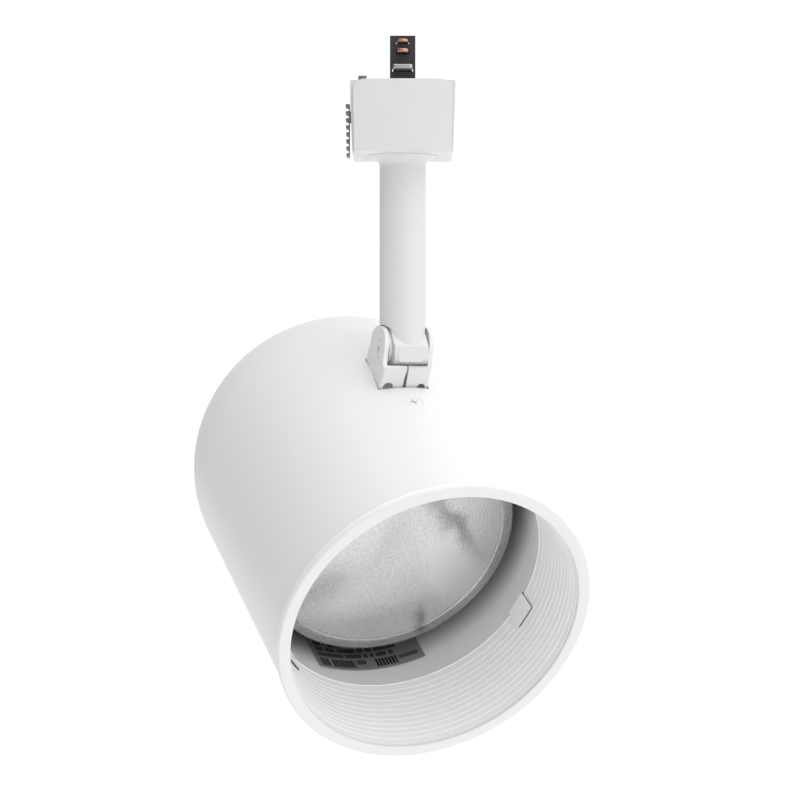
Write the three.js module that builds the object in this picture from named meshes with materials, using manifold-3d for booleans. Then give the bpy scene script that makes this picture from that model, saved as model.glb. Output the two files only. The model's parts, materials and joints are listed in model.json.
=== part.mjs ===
// Line-voltage track spotlight: a track adapter, a turning stem, a tilting yoke and a round-back
// cylinder head with a stepped baffle and a screw-in reflector lamp.
// Millimetres, +Z up. The origin is the centre of the adapter's flat top, where it seats on the
// track, on the stem's axis. X runs along the track and -Y faces the viewer.
import * as THREE from 'three';
import { mergeVertices } from 'three/addons/utils/BufferGeometryUtils.js';
import Module from 'manifold-3d';

const wasm = await Module();
wasm.setup();

// ---- Driving dimensions ---------------------------------------------------------------------
const GAP = 0.3; // clearance between pieces that touch
const ROUND = 48; // segments round a large turned piece
const ROUND_MEDIUM = 30; // segments round a medium turned piece
const ROUND_SMALL = 20; // segments round a small turned piece

// The stored pose: the head is turned about the stem and aims below the horizon.
const PAN = THREE.MathUtils.degToRad(22.73);
const AIM_DOWN = THREE.MathUtils.degToRad(32.63);
const PIVOT_DROP = 93.8; // tilt axis below the track seat

// Adapter
const ADAPTER = { width: 37.2, back: 19, split: -14.5, height: 25.4, wall: 2.2, floor: 3 };
const COVER = { width: 34.8, front: -19, thickness: 4.2, cornerR: 4, sideSweep: 1.2 };
const SCREW_POST = { x: 8.4, z: -10.3, radius: 2.7 };
const NECK = { half: 4.5, top: 17, flangeHalfX: 11, flangeHalfY: 9, flangeThick: 3 };
const CONTACT_Z = 10.6;
const GROUND_Z = 14.4;
const LUG = { z: 4.5, thick: 1.5, halfX: 3.4, halfY: 11.5 };
const TAB = { ribs: 8, pitch: 2.43, firstRib: -9, ribR: 0.75, yLow: -2, yHigh: 8, travel: 4.5, plate: 0.5 };
const TAB_ARM = { top: -9.5, bottom: -13, yLow: -1.5, yHigh: 5 };
const DOG = { xLow: -15.8, xHigh: -12.8, half: 2, top: 3.2 };
const SPRING = { x: -14, y: 3, radius: 1.6, wire: 0.3, turns: 6 };

// Stem and knuckle
const STEM = { radius: 8.2, bore: 6.4, flareR: 12.8, flareHeight: 3.4, capThick: 2.4 };
const WIREWAY = { radius: 3.2, coneTop: 12, coneBottom: 9 };
const NIPPLE = { radius: 4.2, bore: 2.9, below: 3, above: 8.5 };
const WAVE_WASHER = { radius: 9.2, thick: 0.8 };
const SWIVEL_NUT = { thick: 4, acrossFlats: 15 };
const LOCK_NUT = { thick: 2.2, acrossFlats: 10.6 };
const KNUCKLE = { front: 8.6, bottom: -5.9, back: -8.1, halfWidth: 6.4, crease: 1, earRoomR: 8.45 };
const PAD = { half: 4.4, proud: 0.45, low: -4.6, high: -0.4 };
const WASHER = { inner: 6.7, thick: 0.75, radius: 6.2 };
const PIVOT_SCREW = { headR: 3.5, shankR: 2, length: 9 };

// Yoke, in the head's own frame
const PIVOT = { y: 64.7, z: -77.6 };
const YOKE = { half: 9.35, sheet: 1.6, earR: 8, flangeAhead: 11.6, flangeTop: -1, slit: 0.9 };
const YOKE_BASE = { front: -49.5, back: -99, top: 53.8, thick: 1.6 };
const SLOT = { front: -65.2, back: -86.2, half: 9.7 };
const HOUSING_SCREWS = [-55.6, -93.5];
const HOUSING_SCREW = { headR: 3.25, shankR: 1.6, headDepth: 1.9, length: 6 };

// Head, in its own frame: Z is the optical axis, 0 at the trim ring's front face
const HOUSING = { radius: 56.2, wall: 1.2, front: -1.6, back: -150.3, cornerR: 47.7 };
const RING = { outerR: 57.15, innerR: 52.65, lip: 2.6, thick: 1.2 };
const BAFFLE = { depth: 34.2, backR: 50.67, wall: 1.1, steps: 12, firstStep: 1.9, pitch: 2.57 };
const CLIP = { width: 9.1, front: -25.6, sheet: 0.45, angles: [108.6, 228.6, -11.4] };
const LABEL = { from: 153.5, to: 197.5, front: -48, back: -91, thick: 0.3 };
const LAMP = { rimR: 48.1, face: -51.5, dome: 2, rimBand: 4.6, neckR: 15.5, neckAt: -106 };
const CAP = { radius: 13.1, thread: 0.6, pitch: 3.629, front: -114, back: -138.5, tip: -141.5 };
const SOCKET = { radius: 18.5, front: -112.5, back: -146, bore: 14.7, floor: -142.7, linerWall: 0.6 };

// ---- Materials ------------------------------------------------------------------------------
const finish = (color, roughness, metalness) =>
  new THREE.MeshStandardMaterial({ color, roughness, metalness });
const WHITE_PAINT = finish(0xf1f1ef, 0.45, 0);
const WHITE_PLASTIC = finish(0xeeeeec, 0.5, 0);
const DARK_PLASTIC = finish(0x5a5a5c, 0.6, 0);
const COPPER = finish(0xb87333, 0.35, 1);
const BRASS = finish(0xc9a24a, 0.35, 1);
const STEEL = finish(0xb8babd, 0.35, 1);
const SILVER = finish(0xd8dadc, 0.2, 1);
const GLASS = finish(0xe6e8ea, 0.1, 0);
const PORCELAIN = finish(0xf4f1e8, 0.3, 0);
const LABEL_FOIL = finish(0xa9abad, 0.4, 0.6);
const BLACK_GLASS = finish(0x18181a, 0.2, 0);

// ---- Solid helpers --------------------------------------------------------------------------
function signedVolume(position, index) {
  const corner = [new THREE.Vector3(), new THREE.Vector3(), new THREE.Vector3()];
  let total = 0;
  for (let i = 0; i < index.length; i += 3) {
    corner.forEach((v, k) => v.fromBufferAttribute(position, index[i + k]));
    total += corner[0].dot(corner[1].cross(corner[2])) / 6;
  }
  return total;
}

// A closed three.js geometry as a manifold solid, with its faces turned outwards.
function solid(geometry) {
  const bare = geometry.index ? geometry.toNonIndexed() : geometry.clone();
  for (const name of Object.keys(bare.attributes)) {
    if (name !== 'position') bare.deleteAttribute(name);
  }
  const merged = mergeVertices(bare, 1e-4);
  const index = [];
  for (let i = 0; i < merged.index.count; i += 3) {
    const [a, b, c] = [0, 1, 2].map((k) => merged.index.getX(i + k));
    if (a !== b && b !== c && c !== a) index.push(a, b, c);
  }
  if (signedVolume(merged.attributes.position, index) < 0) index.reverse();
  return new wasm.Manifold(
    new wasm.Mesh({
      numProp: 3,
      vertProperties: new Float32Array(merged.attributes.position.array),
      triVerts: new Uint32Array(index),
    }),
  );
}

const join = (first, ...rest) => rest.reduce((whole, piece) => whole.add(piece), first);
const cut = (first, ...rest) => rest.reduce((whole, piece) => whole.subtract(piece), first);

// A box from its low and high corners.
function box(low, high) {
  const size = high.map((value, i) => value - low[i]);
  const geometry = new THREE.BoxGeometry(...size);
  geometry.translate(...high.map((value, i) => (value + low[i]) / 2));
  return solid(geometry);
}

// A body turned about Z from a closed profile of [radius, z] points.
function turned(profile, segments = ROUND) {
  const points = [...profile, profile[0]].map(([r, z]) => new THREE.Vector2(r, z));
  return solid(new THREE.LatheGeometry(points, segments).rotateX(Math.PI / 2));
}

// A round bar between two points on a line parallel to one axis.
function bar(axis, centre, from, to, radius, segments = ROUND_SMALL, endRadius = radius) {
  const geometry = new THREE.CylinderGeometry(endRadius, radius, to - from, segments);
  geometry.translate(0, (from + to) / 2, 0);
  if (axis === 'x') geometry.rotateZ(-Math.PI / 2);
  if (axis === 'z') geometry.rotateX(Math.PI / 2);
  const offset = { x: [0, ...centre], y: [centre[0], 0, centre[1]], z: [...centre, 0] }[axis];
  return solid(geometry.translate(...offset));
}

// An outline drawn in the plane across one axis and pushed along that axis. Across 'x' the
// outline's coordinates are [y, z], across 'y' they are [x, z] and across 'z' they are [x, y].
function pushed(axis, outline, from, to) {
  const shape = outline instanceof THREE.Shape ? outline : new THREE.Shape(
    outline.map(([a, b]) => new THREE.Vector2(a, b)),
  );
  const geometry = new THREE.ExtrudeGeometry(shape, {
    depth: to - from, bevelEnabled: false, curveSegments: 8,
  });
  geometry.translate(0, 0, from);
  const basis = {
    x: [[0, 1, 0], [0, 0, 1], [1, 0, 0]],
    y: [[1, 0, 0], [0, 0, 1], [0, 1, 0]],
    z: [[1, 0, 0], [0, 1, 0], [0, 0, 1]],
  }[axis].map((v) => new THREE.Vector3(...v));
  return solid(geometry.applyMatrix4(new THREE.Matrix4().makeBasis(...basis)));
}

function arcPoints(centreA, centreB, radius, fromDeg, toDeg, steps) {
  return Array.from({ length: steps + 1 }, (_, i) => {
    const angle = THREE.MathUtils.degToRad(fromDeg + ((toDeg - fromDeg) * i) / steps);
    return [centreA + radius * Math.cos(angle), centreB + radius * Math.sin(angle)];
  });
}

function add(group, name, body, material) {
  const { vertProperties, triVerts, numProp } = body.getMesh();
  const position = new Float32Array((vertProperties.length / numProp) * 3);
  for (let i = 0; i < position.length / 3; i += 1) {
    for (let k = 0; k < 3; k += 1) position[3 * i + k] = vertProperties[numProp * i + k];
  }
  const geometry = new THREE.BufferGeometry();
  geometry.setAttribute('position', new THREE.BufferAttribute(position, 3));
  geometry.setIndex(new THREE.BufferAttribute(new Uint32Array(triVerts), 1));
  geometry.computeVertexNormals();
  const mesh = new THREE.Mesh(geometry, material);
  mesh.name = name;
  group.add(mesh);
}

// A cross recess for a screw whose head faces +Z at the given height.
function crossRecess(top, size) {
  const deep = top - 0.45 * size;
  const arm = size * 0.22;
  return join(
    box([-size, -arm, deep], [size, arm, top + 1]),
    box([-arm, -size, deep], [arm, size, top + 1]),
  );
}

// ---- Track adapter --------------------------------------------------------------------------
function adapterHousing() {
  const half = ADAPTER.width / 2;
  const inner = half - ADAPTER.wall;
  const { split, back, height, wall, floor } = ADAPTER;
  const draft = 0.9;
  const outer = pushed('y', [
    [-half, 0], [-half + draft, -height], [half - draft, -height], [half, 0],
  ], split, back);
  const pocket = box([-inner, split - 1, -height + floor], [inner, back - wall, -wall]);
  const posts = [-1, 1].map((side) =>
    bar('y', [side * SCREW_POST.x, SCREW_POST.z], split, back - wall + 0.1, SCREW_POST.radius));
  const screwHoles = [-1, 1].flatMap((side) => [
    bar('y', [side * SCREW_POST.x, SCREW_POST.z], split - 1, back + 1, 1.5 + GAP),
    bar('y', [side * SCREW_POST.x, SCREW_POST.z], back - 1.8, back + 1, 3),
  ]);
  const travel = TAB.travel + GAP;
  const dogHole = box(
    [DOG.xLow - GAP, -DOG.half - GAP, -wall - 1], [DOG.xHigh + GAP, DOG.half + GAP, 1]);
  const armSlot = box(
    [-half - 1, TAB_ARM.yLow - GAP, TAB_ARM.bottom - travel],
    [-inner + 0.5, TAB_ARM.yHigh + GAP, TAB_ARM.top + GAP]);
  const neckHole = box(
    [-NECK.half - GAP, -NECK.half - GAP, -wall - 1], [NECK.half + GAP, NECK.half + GAP, 1]);
  const stemHole = bar('z', [0, 0], -height - 1, -height + floor + 1, NIPPLE.radius + GAP);
  const hollow = cut(pocket, ...posts);
  return cut(outer, hollow, ...screwHoles, dogHole, armSlot, neckHole, stemHole);
}

function adapterFrontCover() {
  const { width, front, thickness, cornerR, sideSweep } = COVER;
  const half = width / 2;
  const { height } = ADAPTER;
  const face = new THREE.Shape();
  face.moveTo(-half + 0.4, -height);
  face.lineTo(half - 0.4, -height);
  face.lineTo(half, -cornerR);
  face.absarc(half - cornerR, -cornerR, cornerR, 0, Math.PI / 2, false);
  face.absarc(-half + cornerR, -cornerR, cornerR, Math.PI / 2, Math.PI, false);
  const rear = front + thickness;
  const slab = pushed('y', face, front, rear);
  const sweepR = (half * half + sideSweep * sideSweep) / (2 * sideSweep);
  const bow = bar('z', [0, front + sweepR], -height - 1, 1, sweepR, 220);
  const pilotHoles = [-1, 1].map((side) =>
    bar('y', [side * SCREW_POST.x, SCREW_POST.z], rear - 2.6, rear + 1, 1.5 + GAP));
  return cut(slab.intersect(bow), ...pilotHoles);
}

function adapterScrew(side) {
  const at = [side * SCREW_POST.x, SCREW_POST.z];
  const rear = COVER.front + COVER.thickness;
  return join(
    bar('y', at, rear - 2.2, ADAPTER.back - 1.2, 1.5),
    bar('y', at, ADAPTER.back - 1.5, ADAPTER.back - 0.3, 2.6),
  );
}

function contactBlock() {
  const { half, top, flangeHalfX, flangeHalfY, flangeThick } = NECK;
  const shoulder = -ADAPTER.wall - GAP;
  const flange = box(
    [-flangeHalfX, -flangeHalfY, shoulder - flangeThick], [flangeHalfX, flangeHalfY, shoulder]);
  const neck = box([-half, -half, shoulder - 1], [half, half, top]);
  const lugSlot = box(
    [-LUG.halfX - GAP, -half - 1, LUG.z - GAP],
    [LUG.halfX + GAP, half + 1, LUG.z + LUG.thick + GAP]);
  const bladeSlots = [1, -1].map((side) => box(
    [-2.3, side > 0 ? 1.2 : -half - 1, CONTACT_Z - GAP],
    [2.3, side > 0 ? half + 1 : -1.2, CONTACT_Z + 1.2 + GAP]));
  const groundSlot = box([-2.3, -half - 1, GROUND_Z - GAP], [2.3, half + 1, GROUND_Z + 1 + GAP]);
  return cut(join(flange, neck), lugSlot, ...bladeSlots, groundSlot);
}

// A contact blade with a rounded nose, pushed out of the neck towards +Y or -Y.
function contactBlade(side, reach) {
  const nose = arcPoints(0, side * (reach - 2), 2, side > 0 ? 0 : 180, side > 0 ? 180 : 360, 8);
  return pushed('z', [[side * -2, side * 1.6], [side * 2, side * 1.6], ...nose],
    CONTACT_Z, CONTACT_Z + 1.2);
}

function groundStrap() {
  const noses = [
    ...arcPoints(0, 6.4, 2, 0, 180, 8),
    ...arcPoints(0, -6.4, 2, 180, 360, 8),
  ];
  return pushed('z', noses, GROUND_Z, GROUND_Z + 1);
}

function releaseTab() {
  const face = -ADAPTER.width / 2 - GAP;
  const plateOut = face - TAB.plate;
  const inner = -ADAPTER.width / 2 + ADAPTER.wall + GAP;
  const low = TAB.firstRib - TAB.pitch * (TAB.ribs - 1) - TAB.ribR;
  const high = TAB.firstRib + TAB.ribR;
  const plate = box([plateOut, TAB.yLow, low], [face, TAB.yHigh, high]);
  const ribs = Array.from({ length: TAB.ribs }, (_, i) =>
    bar('y', [plateOut - 0.4, TAB.firstRib - i * TAB.pitch], TAB.yLow, TAB.yHigh, TAB.ribR, 12));
  const arm = box(
    [face - 0.4, TAB_ARM.yLow, TAB_ARM.bottom], [inner + 0.4, TAB_ARM.yHigh, TAB_ARM.top]);
  const carriage = box(
    [inner, TAB_ARM.yLow, TAB_ARM.bottom], [DOG.xHigh + 0.8, TAB_ARM.yHigh, TAB_ARM.top]);
  const dog = box([DOG.xLow, -DOG.half + 0.5, TAB_ARM.top - 1], [DOG.xHigh, DOG.half, DOG.top]);
  return join(plate, ...ribs, arm, carriage, dog);
}

function lockSpring() {
  const { x, y, radius, wire, turns } = SPRING;
  const low = -ADAPTER.height + ADAPTER.floor + GAP + wire;
  const high = TAB_ARM.bottom - GAP - wire;
  class Helix extends THREE.Curve {
    getPoint(t) {
      const angle = t * turns * 2 * Math.PI;
      return new THREE.Vector3(
        x + radius * Math.cos(angle), y + radius * Math.sin(angle), low + (high - low) * t);
    }
  }
  const section = new THREE.Shape().absarc(0, 0, wire, 0, 2 * Math.PI, false);
  return solid(new THREE.ExtrudeGeometry(section, {
    steps: turns * 12, bevelEnabled: false, extrudePath: new Helix(), curveSegments: 3,
  }));
}

// ---- Stem -----------------------------------------------------------------------------------
// Everything below is drawn with the head unturned: -Y is forward and the tilt axis is along X.
function stemArm() {
  const top = -ADAPTER.height - GAP;
  const { radius, bore, flareR, flareHeight, capThick } = STEM;
  const sweep = arcPoints(0, 0, 1, 90, 180, 6).map(([a, b]) => [
    flareR + (flareR - radius) * a, top - flareHeight - 0.25 + flareHeight * b,
  ]);
  const pivotZ = -PIVOT_DROP;
  const tube = turned([
    [NIPPLE.radius + GAP, top], [NIPPLE.radius + GAP, top - capThick], [bore, top - capThick],
    [bore, pivotZ + WIREWAY.coneTop], [WIREWAY.radius, pivotZ + WIREWAY.coneBottom],
    [WIREWAY.radius, pivotZ - 2], [radius, pivotZ - 2], ...[...sweep].reverse(), [flareR, top],
  ], ROUND_MEDIUM);
  const { front, bottom, back, halfWidth, crease, earRoomR } = KNUCKLE;
  const outline = [
    [-front, crease], [-front, -3.9], [-front + 0.6, -5.2], [-front + 2, bottom],
    [2.5, bottom], [5.6, -5.4], [7.4, -3.2], [-back, 0], [-back, 3], [3.5, 9], [-2, 9], [-5, 5.6],
  ].map(([y, z]) => [y, pivotZ + z]);
  const block = pushed('x', outline, -halfWidth, halfWidth);
  const far = flareR; // past the casting on every side
  const wireway = bar('z', [0, 0], pivotZ - far, pivotZ + WIREWAY.coneBottom + 1, WIREWAY.radius);
  const pad = box([-PAD.half, -front - PAD.proud, pivotZ + PAD.low],
    [PAD.half, -front + PAD.proud, pivotZ + PAD.high]);
  const earRooms = [-1, 1].map((side) => bar('x', [0, pivotZ],
    side > 0 ? halfWidth : -far, side > 0 ? far : -halfWidth, earRoomR, ROUND));
  const belowBarrel = box([-far, -far, pivotZ - far], [far, far, pivotZ + bottom]);
  const tapped = bar('x', [0, pivotZ], -far, far, PIVOT_SCREW.shankR + GAP);
  const frontTrim = cut(box([-far, -far, pivotZ + bottom - 1], [far, 0, pivotZ + crease]),
    box([-far - 1, -front, pivotZ + bottom - 2], [far + 1, 1, pivotZ + crease + 1]));
  const shaft = cut(tube, frontTrim, belowBarrel, ...earRooms);
  return cut(join(shaft, cut(block, wireway), pad), tapped);
}

function stemNipple() {
  const { radius, bore, below, above } = NIPPLE;
  const low = -ADAPTER.height - GAP - STEM.capThick - below;
  const high = -ADAPTER.height + ADAPTER.floor + above;
  return turned([[bore, low], [radius, low], [radius, high], [bore, high]], ROUND_SMALL);
}

function waveWasher() {
  const z = -ADAPTER.height + ADAPTER.floor + GAP;
  const r = NIPPLE.radius + GAP;
  const { radius, thick } = WAVE_WASHER;
  return turned([[r, z], [radius, z], [radius, z + thick], [r, z + thick]], ROUND_SMALL);
}

// Hexagon nuts: one above the washer inside the adapter, one under the stem's cap.
function hexNut(low, { thick, acrossFlats }) {
  const corner = acrossFlats / Math.sqrt(3);
  const outline = arcPoints(0, 0, corner, 0, 300, 5);
  return cut(pushed('z', outline, low, low + thick),
    bar('z', [0, 0], low - 1, low + thick + 1, NIPPLE.radius + GAP));
}

function frictionWasher(side) {
  const from = side > 0 ? WASHER.inner : -WASHER.inner - WASHER.thick;
  const at = [0, -PIVOT_DROP];
  return cut(
    bar('x', at, from, from + WASHER.thick, WASHER.radius),
    bar('x', at, from - 1, from + WASHER.thick + 1, PIVOT_SCREW.shankR + GAP));
}

function pivotScrew(side) {
  const { headR, shankR, length } = PIVOT_SCREW;
  const outer = YOKE.half - 0.05;
  const upright = join(
    bar('z', [0, 0], outer - length + 1, outer - 1, shankR),
    bar('z', [0, 0], outer - 1.5, outer, shankR, ROUND_SMALL, headR),
  );
  const body = cut(upright, crossRecess(outer, 2));
  return body.rotate([0, side * 90, 0]).translate([0, 0, -PIVOT_DROP]);
}

// ---- Head -----------------------------------------------------------------------------------
// Drawn in the head's own frame: X across, Y up and Z out of the mouth along the optical axis.
function housingShell() {
  const { radius, wall, front, back, cornerR } = HOUSING;
  const inner = radius - wall;
  const flatR = radius - cornerR;
  const centreZ = back + cornerR;
  const outside = arcPoints(flatR, centreZ, cornerR, -90, 0, 9);
  const inside = arcPoints(flatR, centreZ, cornerR - wall, 0, -90, 9);
  const shell = turned([
    [0, back], ...outside, [radius, front], [inner, front], ...inside, [0, back + wall],
  ]);
  const slot = box([-SLOT.half, 45, SLOT.back], [SLOT.half, 60, SLOT.front]);
  const screwHoles = HOUSING_SCREWS.map((z) => housingScrewSpace(z, GAP));
  const rivetHole = bar('z', [0, 0], back - 1, back + wall + 1, 2.3);
  return cut(shell, slot, ...screwHoles, rivetHole);
}

// The room that a countersunk screw through the housing wall takes, with a margin round it.
function housingScrewSpace(z, margin) {
  const { headR, shankR, headDepth, length } = HOUSING_SCREW;
  const top = HOUSING.radius;
  const cone = bar('y', [0, z], top - headDepth - 0.1, top, shankR + margin, ROUND_SMALL,
    headR + margin);
  const shank = bar('y', [0, z], top - length - margin, top - headDepth + 0.2, shankR + margin);
  const above = bar('y', [0, z], top - 0.02, top + 1, headR + margin);
  return margin ? join(cone, shank, above) : join(cone, shank);
}

function housingScrew(z) {
  const recess = crossRecess(HOUSING.radius, 2).rotate([-90, 0, 0])
    .translate([0, 0, z]);
  return cut(housingScrewSpace(z, 0), recess);
}

function yokeBracket() {
  const { half, sheet, earR, flangeAhead, flangeTop, slit } = YOKE;
  const { front, back, top, thick } = YOKE_BASE;
  const at = (ahead, up) => [PIVOT.y + up, PIVOT.z + ahead];
  const round = arcPoints(PIVOT.y, PIVOT.z, earR, 75, -75, 14);
  const earOutline = [
    at(flangeAhead, flangeTop - 7.2), at(flangeAhead, flangeTop), ...round,
    at(-7.6, -8.5), at(-7.6, top - PIVOT.y - thick), at(flangeAhead, top - PIVOT.y - thick),
  ];
  const ears = [-1, 1].map((side) => pushed('x', earOutline,
    side > 0 ? half - sheet : -half, side > 0 ? half : -half + sheet));
  const web = box([-half, top - thick, back], [half, top, front]);
  const flangeZ = PIVOT.z + flangeAhead;
  const flangeLow = top - thick + 0.2;
  const flangeHigh = PIVOT.y + flangeTop;
  const flanges = [-1, 1].map((side) => pushed('z', [
    [side * (half - 0.5), flangeLow], [side * (slit + 0.7), flangeLow],
    [side * slit, flangeHigh], [side * (half - 0.5), flangeHigh],
  ], flangeZ - sheet, flangeZ));
  const notches = [-1, 1].map((side) =>
    bar('z', [side * 5.4, HOUSING.radius - 0.6], flangeZ - sheet - 1, flangeZ + 1, 2.2));
  const { headR, shankR } = PIVOT_SCREW;
  const pinHole = bar('x', [PIVOT.y, PIVOT.z], -half - 1, half + 1, shankR + GAP);
  const sinks = [-1, 1].map((side) => {
    const from = side > 0 ? half - 1.5 : -half - 0.1;
    const to = side > 0 ? half + 0.1 : -half + 1.5;
    const [r0, r1] = side > 0 ? [shankR, headR] : [headR, shankR];
    return bar('x', [PIVOT.y, PIVOT.z], from, to, r0 + GAP, ROUND_SMALL, r1 + GAP);
  });
  const screwHoles = HOUSING_SCREWS.map((z) =>
    bar('y', [0, z], top - thick - 1, top + 1, HOUSING_SCREW.shankR + GAP));
  const wireHole = bar('y', [0, PIVOT.z], top - thick - 1, top + 1, 4);
  return cut(
    join(...ears, web, ...flanges), ...notches, pinHole, ...sinks, ...screwHoles, wireHole);
}

function baffleTrim() {
  const { outerR, innerR, lip, thick } = RING;
  const { depth, backR, wall, steps, firstStep, pitch } = BAFFLE;
  const coneR = (d) => innerR + ((backR - innerR) * d) / depth;
  const ribs = [];
  for (let i = 0; i < steps; i += 1) {
    const d = firstStep + i * pitch;
    ribs.push([coneR(d), -d], [coneR(d) + 0.45, -d - 0.25]);
  }
  const overlapR = HOUSING.radius + GAP;
  return turned([
    [innerR + 0.3, 0], ...ribs, [coneR(depth - 1), -depth + 1], [coneR(depth), -depth],
    [backR + wall, -depth], [innerR + wall + 0.4, -thick - 0.6], [innerR + wall + 0.4, -thick],
    [overlapR, -thick], [overlapR, -lip], [outerR - 0.1, -lip], [outerR, -lip + 0.4],
    [outerR, -0.9], [outerR - 0.35, -0.25], [outerR - 1, 0],
  ], ROUND);
}

// A spring clip folded over the back edge of the baffle, its outer leg bowed to the housing.
function baffleClip(angleDeg) {
  const { width, front, sheet } = CLIP;
  const { depth, backR, wall } = BAFFLE;
  const lean = (RING.innerR - backR) / depth;
  const inR = (z) => backR - GAP + lean * (depth + z);
  const rear = -depth - GAP;
  const outR = backR + wall + GAP;
  const outline = [
    [inR(front) - sheet, front], [inR(front), front], [backR - GAP, rear], [outR, rear],
    [outR + 1.6, -29], [outR + 0.5, -26], [outR + 0.5 + sheet, -26], [outR + 1.6 + sheet, -29],
    [outR + sheet, rear - sheet], [backR - GAP - sheet, rear - sheet],
  ];
  const leaf = pushed('x', outline, -width / 2, width / 2);
  return leaf.rotate([0, 0, -angleDeg]);
}

function ratingLabel() {
  const outer = HOUSING.radius - HOUSING.wall - GAP;
  const inner = outer - LABEL.thick;
  const arc = (r, from, to) => arcPoints(0, 0, r, 90 - from, 90 - to, 10);
  const outline = [...arc(outer, LABEL.from, LABEL.to), ...arc(inner, LABEL.to, LABEL.from)];
  return pushed('z', outline, LABEL.back, LABEL.front);
}

// ---- Lamp holder ----------------------------------------------------------------------------
function socketBody() {
  const { radius, front, back, bore, floor } = SOCKET;
  const body = turned([
    [0, back], [radius - 2.5, back], [radius, back + 2.5], [radius, front + 1],
    [radius - 1, front], [bore, front], [bore, floor], [0, floor],
  ], 24);
  return cut(body, bar('z', [0, 0], back - 1, floor + 1, 1.4));
}

// One thread of liner or lamp cap, drawn as rings of the thread's depth.
function threadRings(radius, from, to) {
  const points = [];
  const count = Math.floor((to - from) / CAP.pitch);
  for (let i = 0; i < count; i += 1) {
    const z = from + i * CAP.pitch;
    points.push([radius - CAP.thread, z], [radius, z + CAP.pitch / 2]);
  }
  points.push([radius - CAP.thread, from + count * CAP.pitch]);
  return points;
}

function socketLiner() {
  const outer = SOCKET.bore - GAP;
  const low = SOCKET.floor + 6;
  return turned([
    [outer, low], [outer, SOCKET.front - 1], [outer - SOCKET.linerWall, SOCKET.front - 1],
    [outer - SOCKET.linerWall, low],
  ], 24);
}

function socketContact() {
  const z = SOCKET.floor + GAP;
  return join(
    bar('z', [0, 0], z, CAP.tip - GAP, 3.2),
    bar('z', [0, 0], SOCKET.back + 0.4, z + 0.1, 1),
  );
}

function socketStrap() {
  const z = SOCKET.back - GAP;
  const plate = box([-16, -6, z - 1], [16, 6, z]);
  return cut(plate, bar('z', [0, 0], z - 2, z + 1, 2.3));
}

function socketRivet() {
  return join(
    bar('z', [0, 0], HOUSING.back - 0.9, HOUSING.back - 0.3, 3.8),
    bar('z', [0, 0], HOUSING.back - 0.5, SOCKET.back - 1 - GAP, 2),
  );
}

// ---- Lamp -----------------------------------------------------------------------------------
function lampLens() {
  const { rimR, face, dome, rimBand } = LAMP;
  const edge = rimR - 1.2;
  const lensR = rimR - rimBand;
  const front = [0, 1, 2, 3, 4].map((i) => {
    const r = lensR * (1 - i / 4);
    return [r, face - 0.5 + dome * (1 - (r / lensR) ** 2)];
  });
  return turned([
    [0, face - 4], [edge - 2, face - 4], [rimR - 0.2, face - 2.6], [rimR, face - 1.4],
    [edge, face], [lensR + 0.6, face], ...front,
  ], ROUND_MEDIUM);
}

function lampReflector() {
  const { rimR, face, neckR, neckAt } = LAMP;
  const front = face - 4 - GAP;
  const steps = 7;
  const bowl = (inset) => Array.from({ length: steps + 1 }, (_, i) => {
    const t = i / steps;
    const r = neckR + (rimR - 1.2 - neckR) * Math.sqrt(t);
    return [r - inset, neckAt + (front - neckAt) * t];
  });
  const outer = bowl(0);
  const inner = bowl(2.4).reverse();
  return turned([
    [0, CAP.front + 3], [10.6, CAP.front + 3], [12, CAP.front + GAP], [12.6, CAP.front + GAP],
    ...outer, ...inner, [8, neckAt + 0.5], [8, CAP.front + 5], [0, CAP.front + 5],
  ], ROUND_MEDIUM);
}

function lampCapsule() {
  const low = CAP.front + 5 + GAP;
  return turned([
    [0, low], [3, low], [3, low + 9], [5.2, low + 12], [5.2, low + 30], [3.6, low + 34],
    [1.2, low + 36.5], [0, low + 36.5],
  ], ROUND_SMALL);
}

function lampCap() {
  const { radius, front, back } = CAP;
  const wall = 0.5;
  const outside = threadRings(radius, back + 1, front - 1);
  const top = outside[outside.length - 1];
  return turned([
    [radius - 2.2, back], [radius - CAP.thread, back + 0.6], ...outside, [top[0], front],
    [top[0] - wall, front], [top[0] - wall, back + 1.2], [radius - 2.2, back + wall],
  ], ROUND_MEDIUM);
}

function lampInsulator() {
  const { radius, back, tip } = CAP;
  return turned([
    [0, tip + 1.1], [5.5, tip + 1.1], [radius - 3, back - GAP], [0, back - GAP],
  ], ROUND_SMALL);
}

function lampContact() {
  const z = CAP.tip;
  return turned([[0, z], [3.4, z], [4.4, z + 0.4], [4.4, z + 0.8], [0, z + 0.8]], ROUND_SMALL);
}

// ---- Assembly -------------------------------------------------------------------------------
const spotlight = new THREE.Group();

const adapter = new THREE.Group();
spotlight.add(adapter);
add(adapter, 'adapter_housing', adapterHousing(), WHITE_PLASTIC);
add(adapter, 'adapter_front_cover', adapterFrontCover(), WHITE_PLASTIC);
add(adapter, 'adapter_screw_left', adapterScrew(-1), STEEL);
add(adapter, 'adapter_screw_right', adapterScrew(1), STEEL);
add(adapter, 'contact_block', contactBlock(), DARK_PLASTIC);
add(adapter, 'line_contact', contactBlade(1, 10), COPPER);
add(adapter, 'neutral_contact', contactBlade(-1, 10), COPPER);
add(adapter, 'ground_strap', groundStrap(), COPPER);
add(adapter, 'track_lug_plate', box([-LUG.halfX, -LUG.halfY, LUG.z],
  [LUG.halfX, LUG.halfY, LUG.z + LUG.thick]), STEEL);
add(adapter, 'release_tab', releaseTab(), WHITE_PLASTIC);
add(adapter, 'lock_spring', lockSpring(), STEEL);

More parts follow.
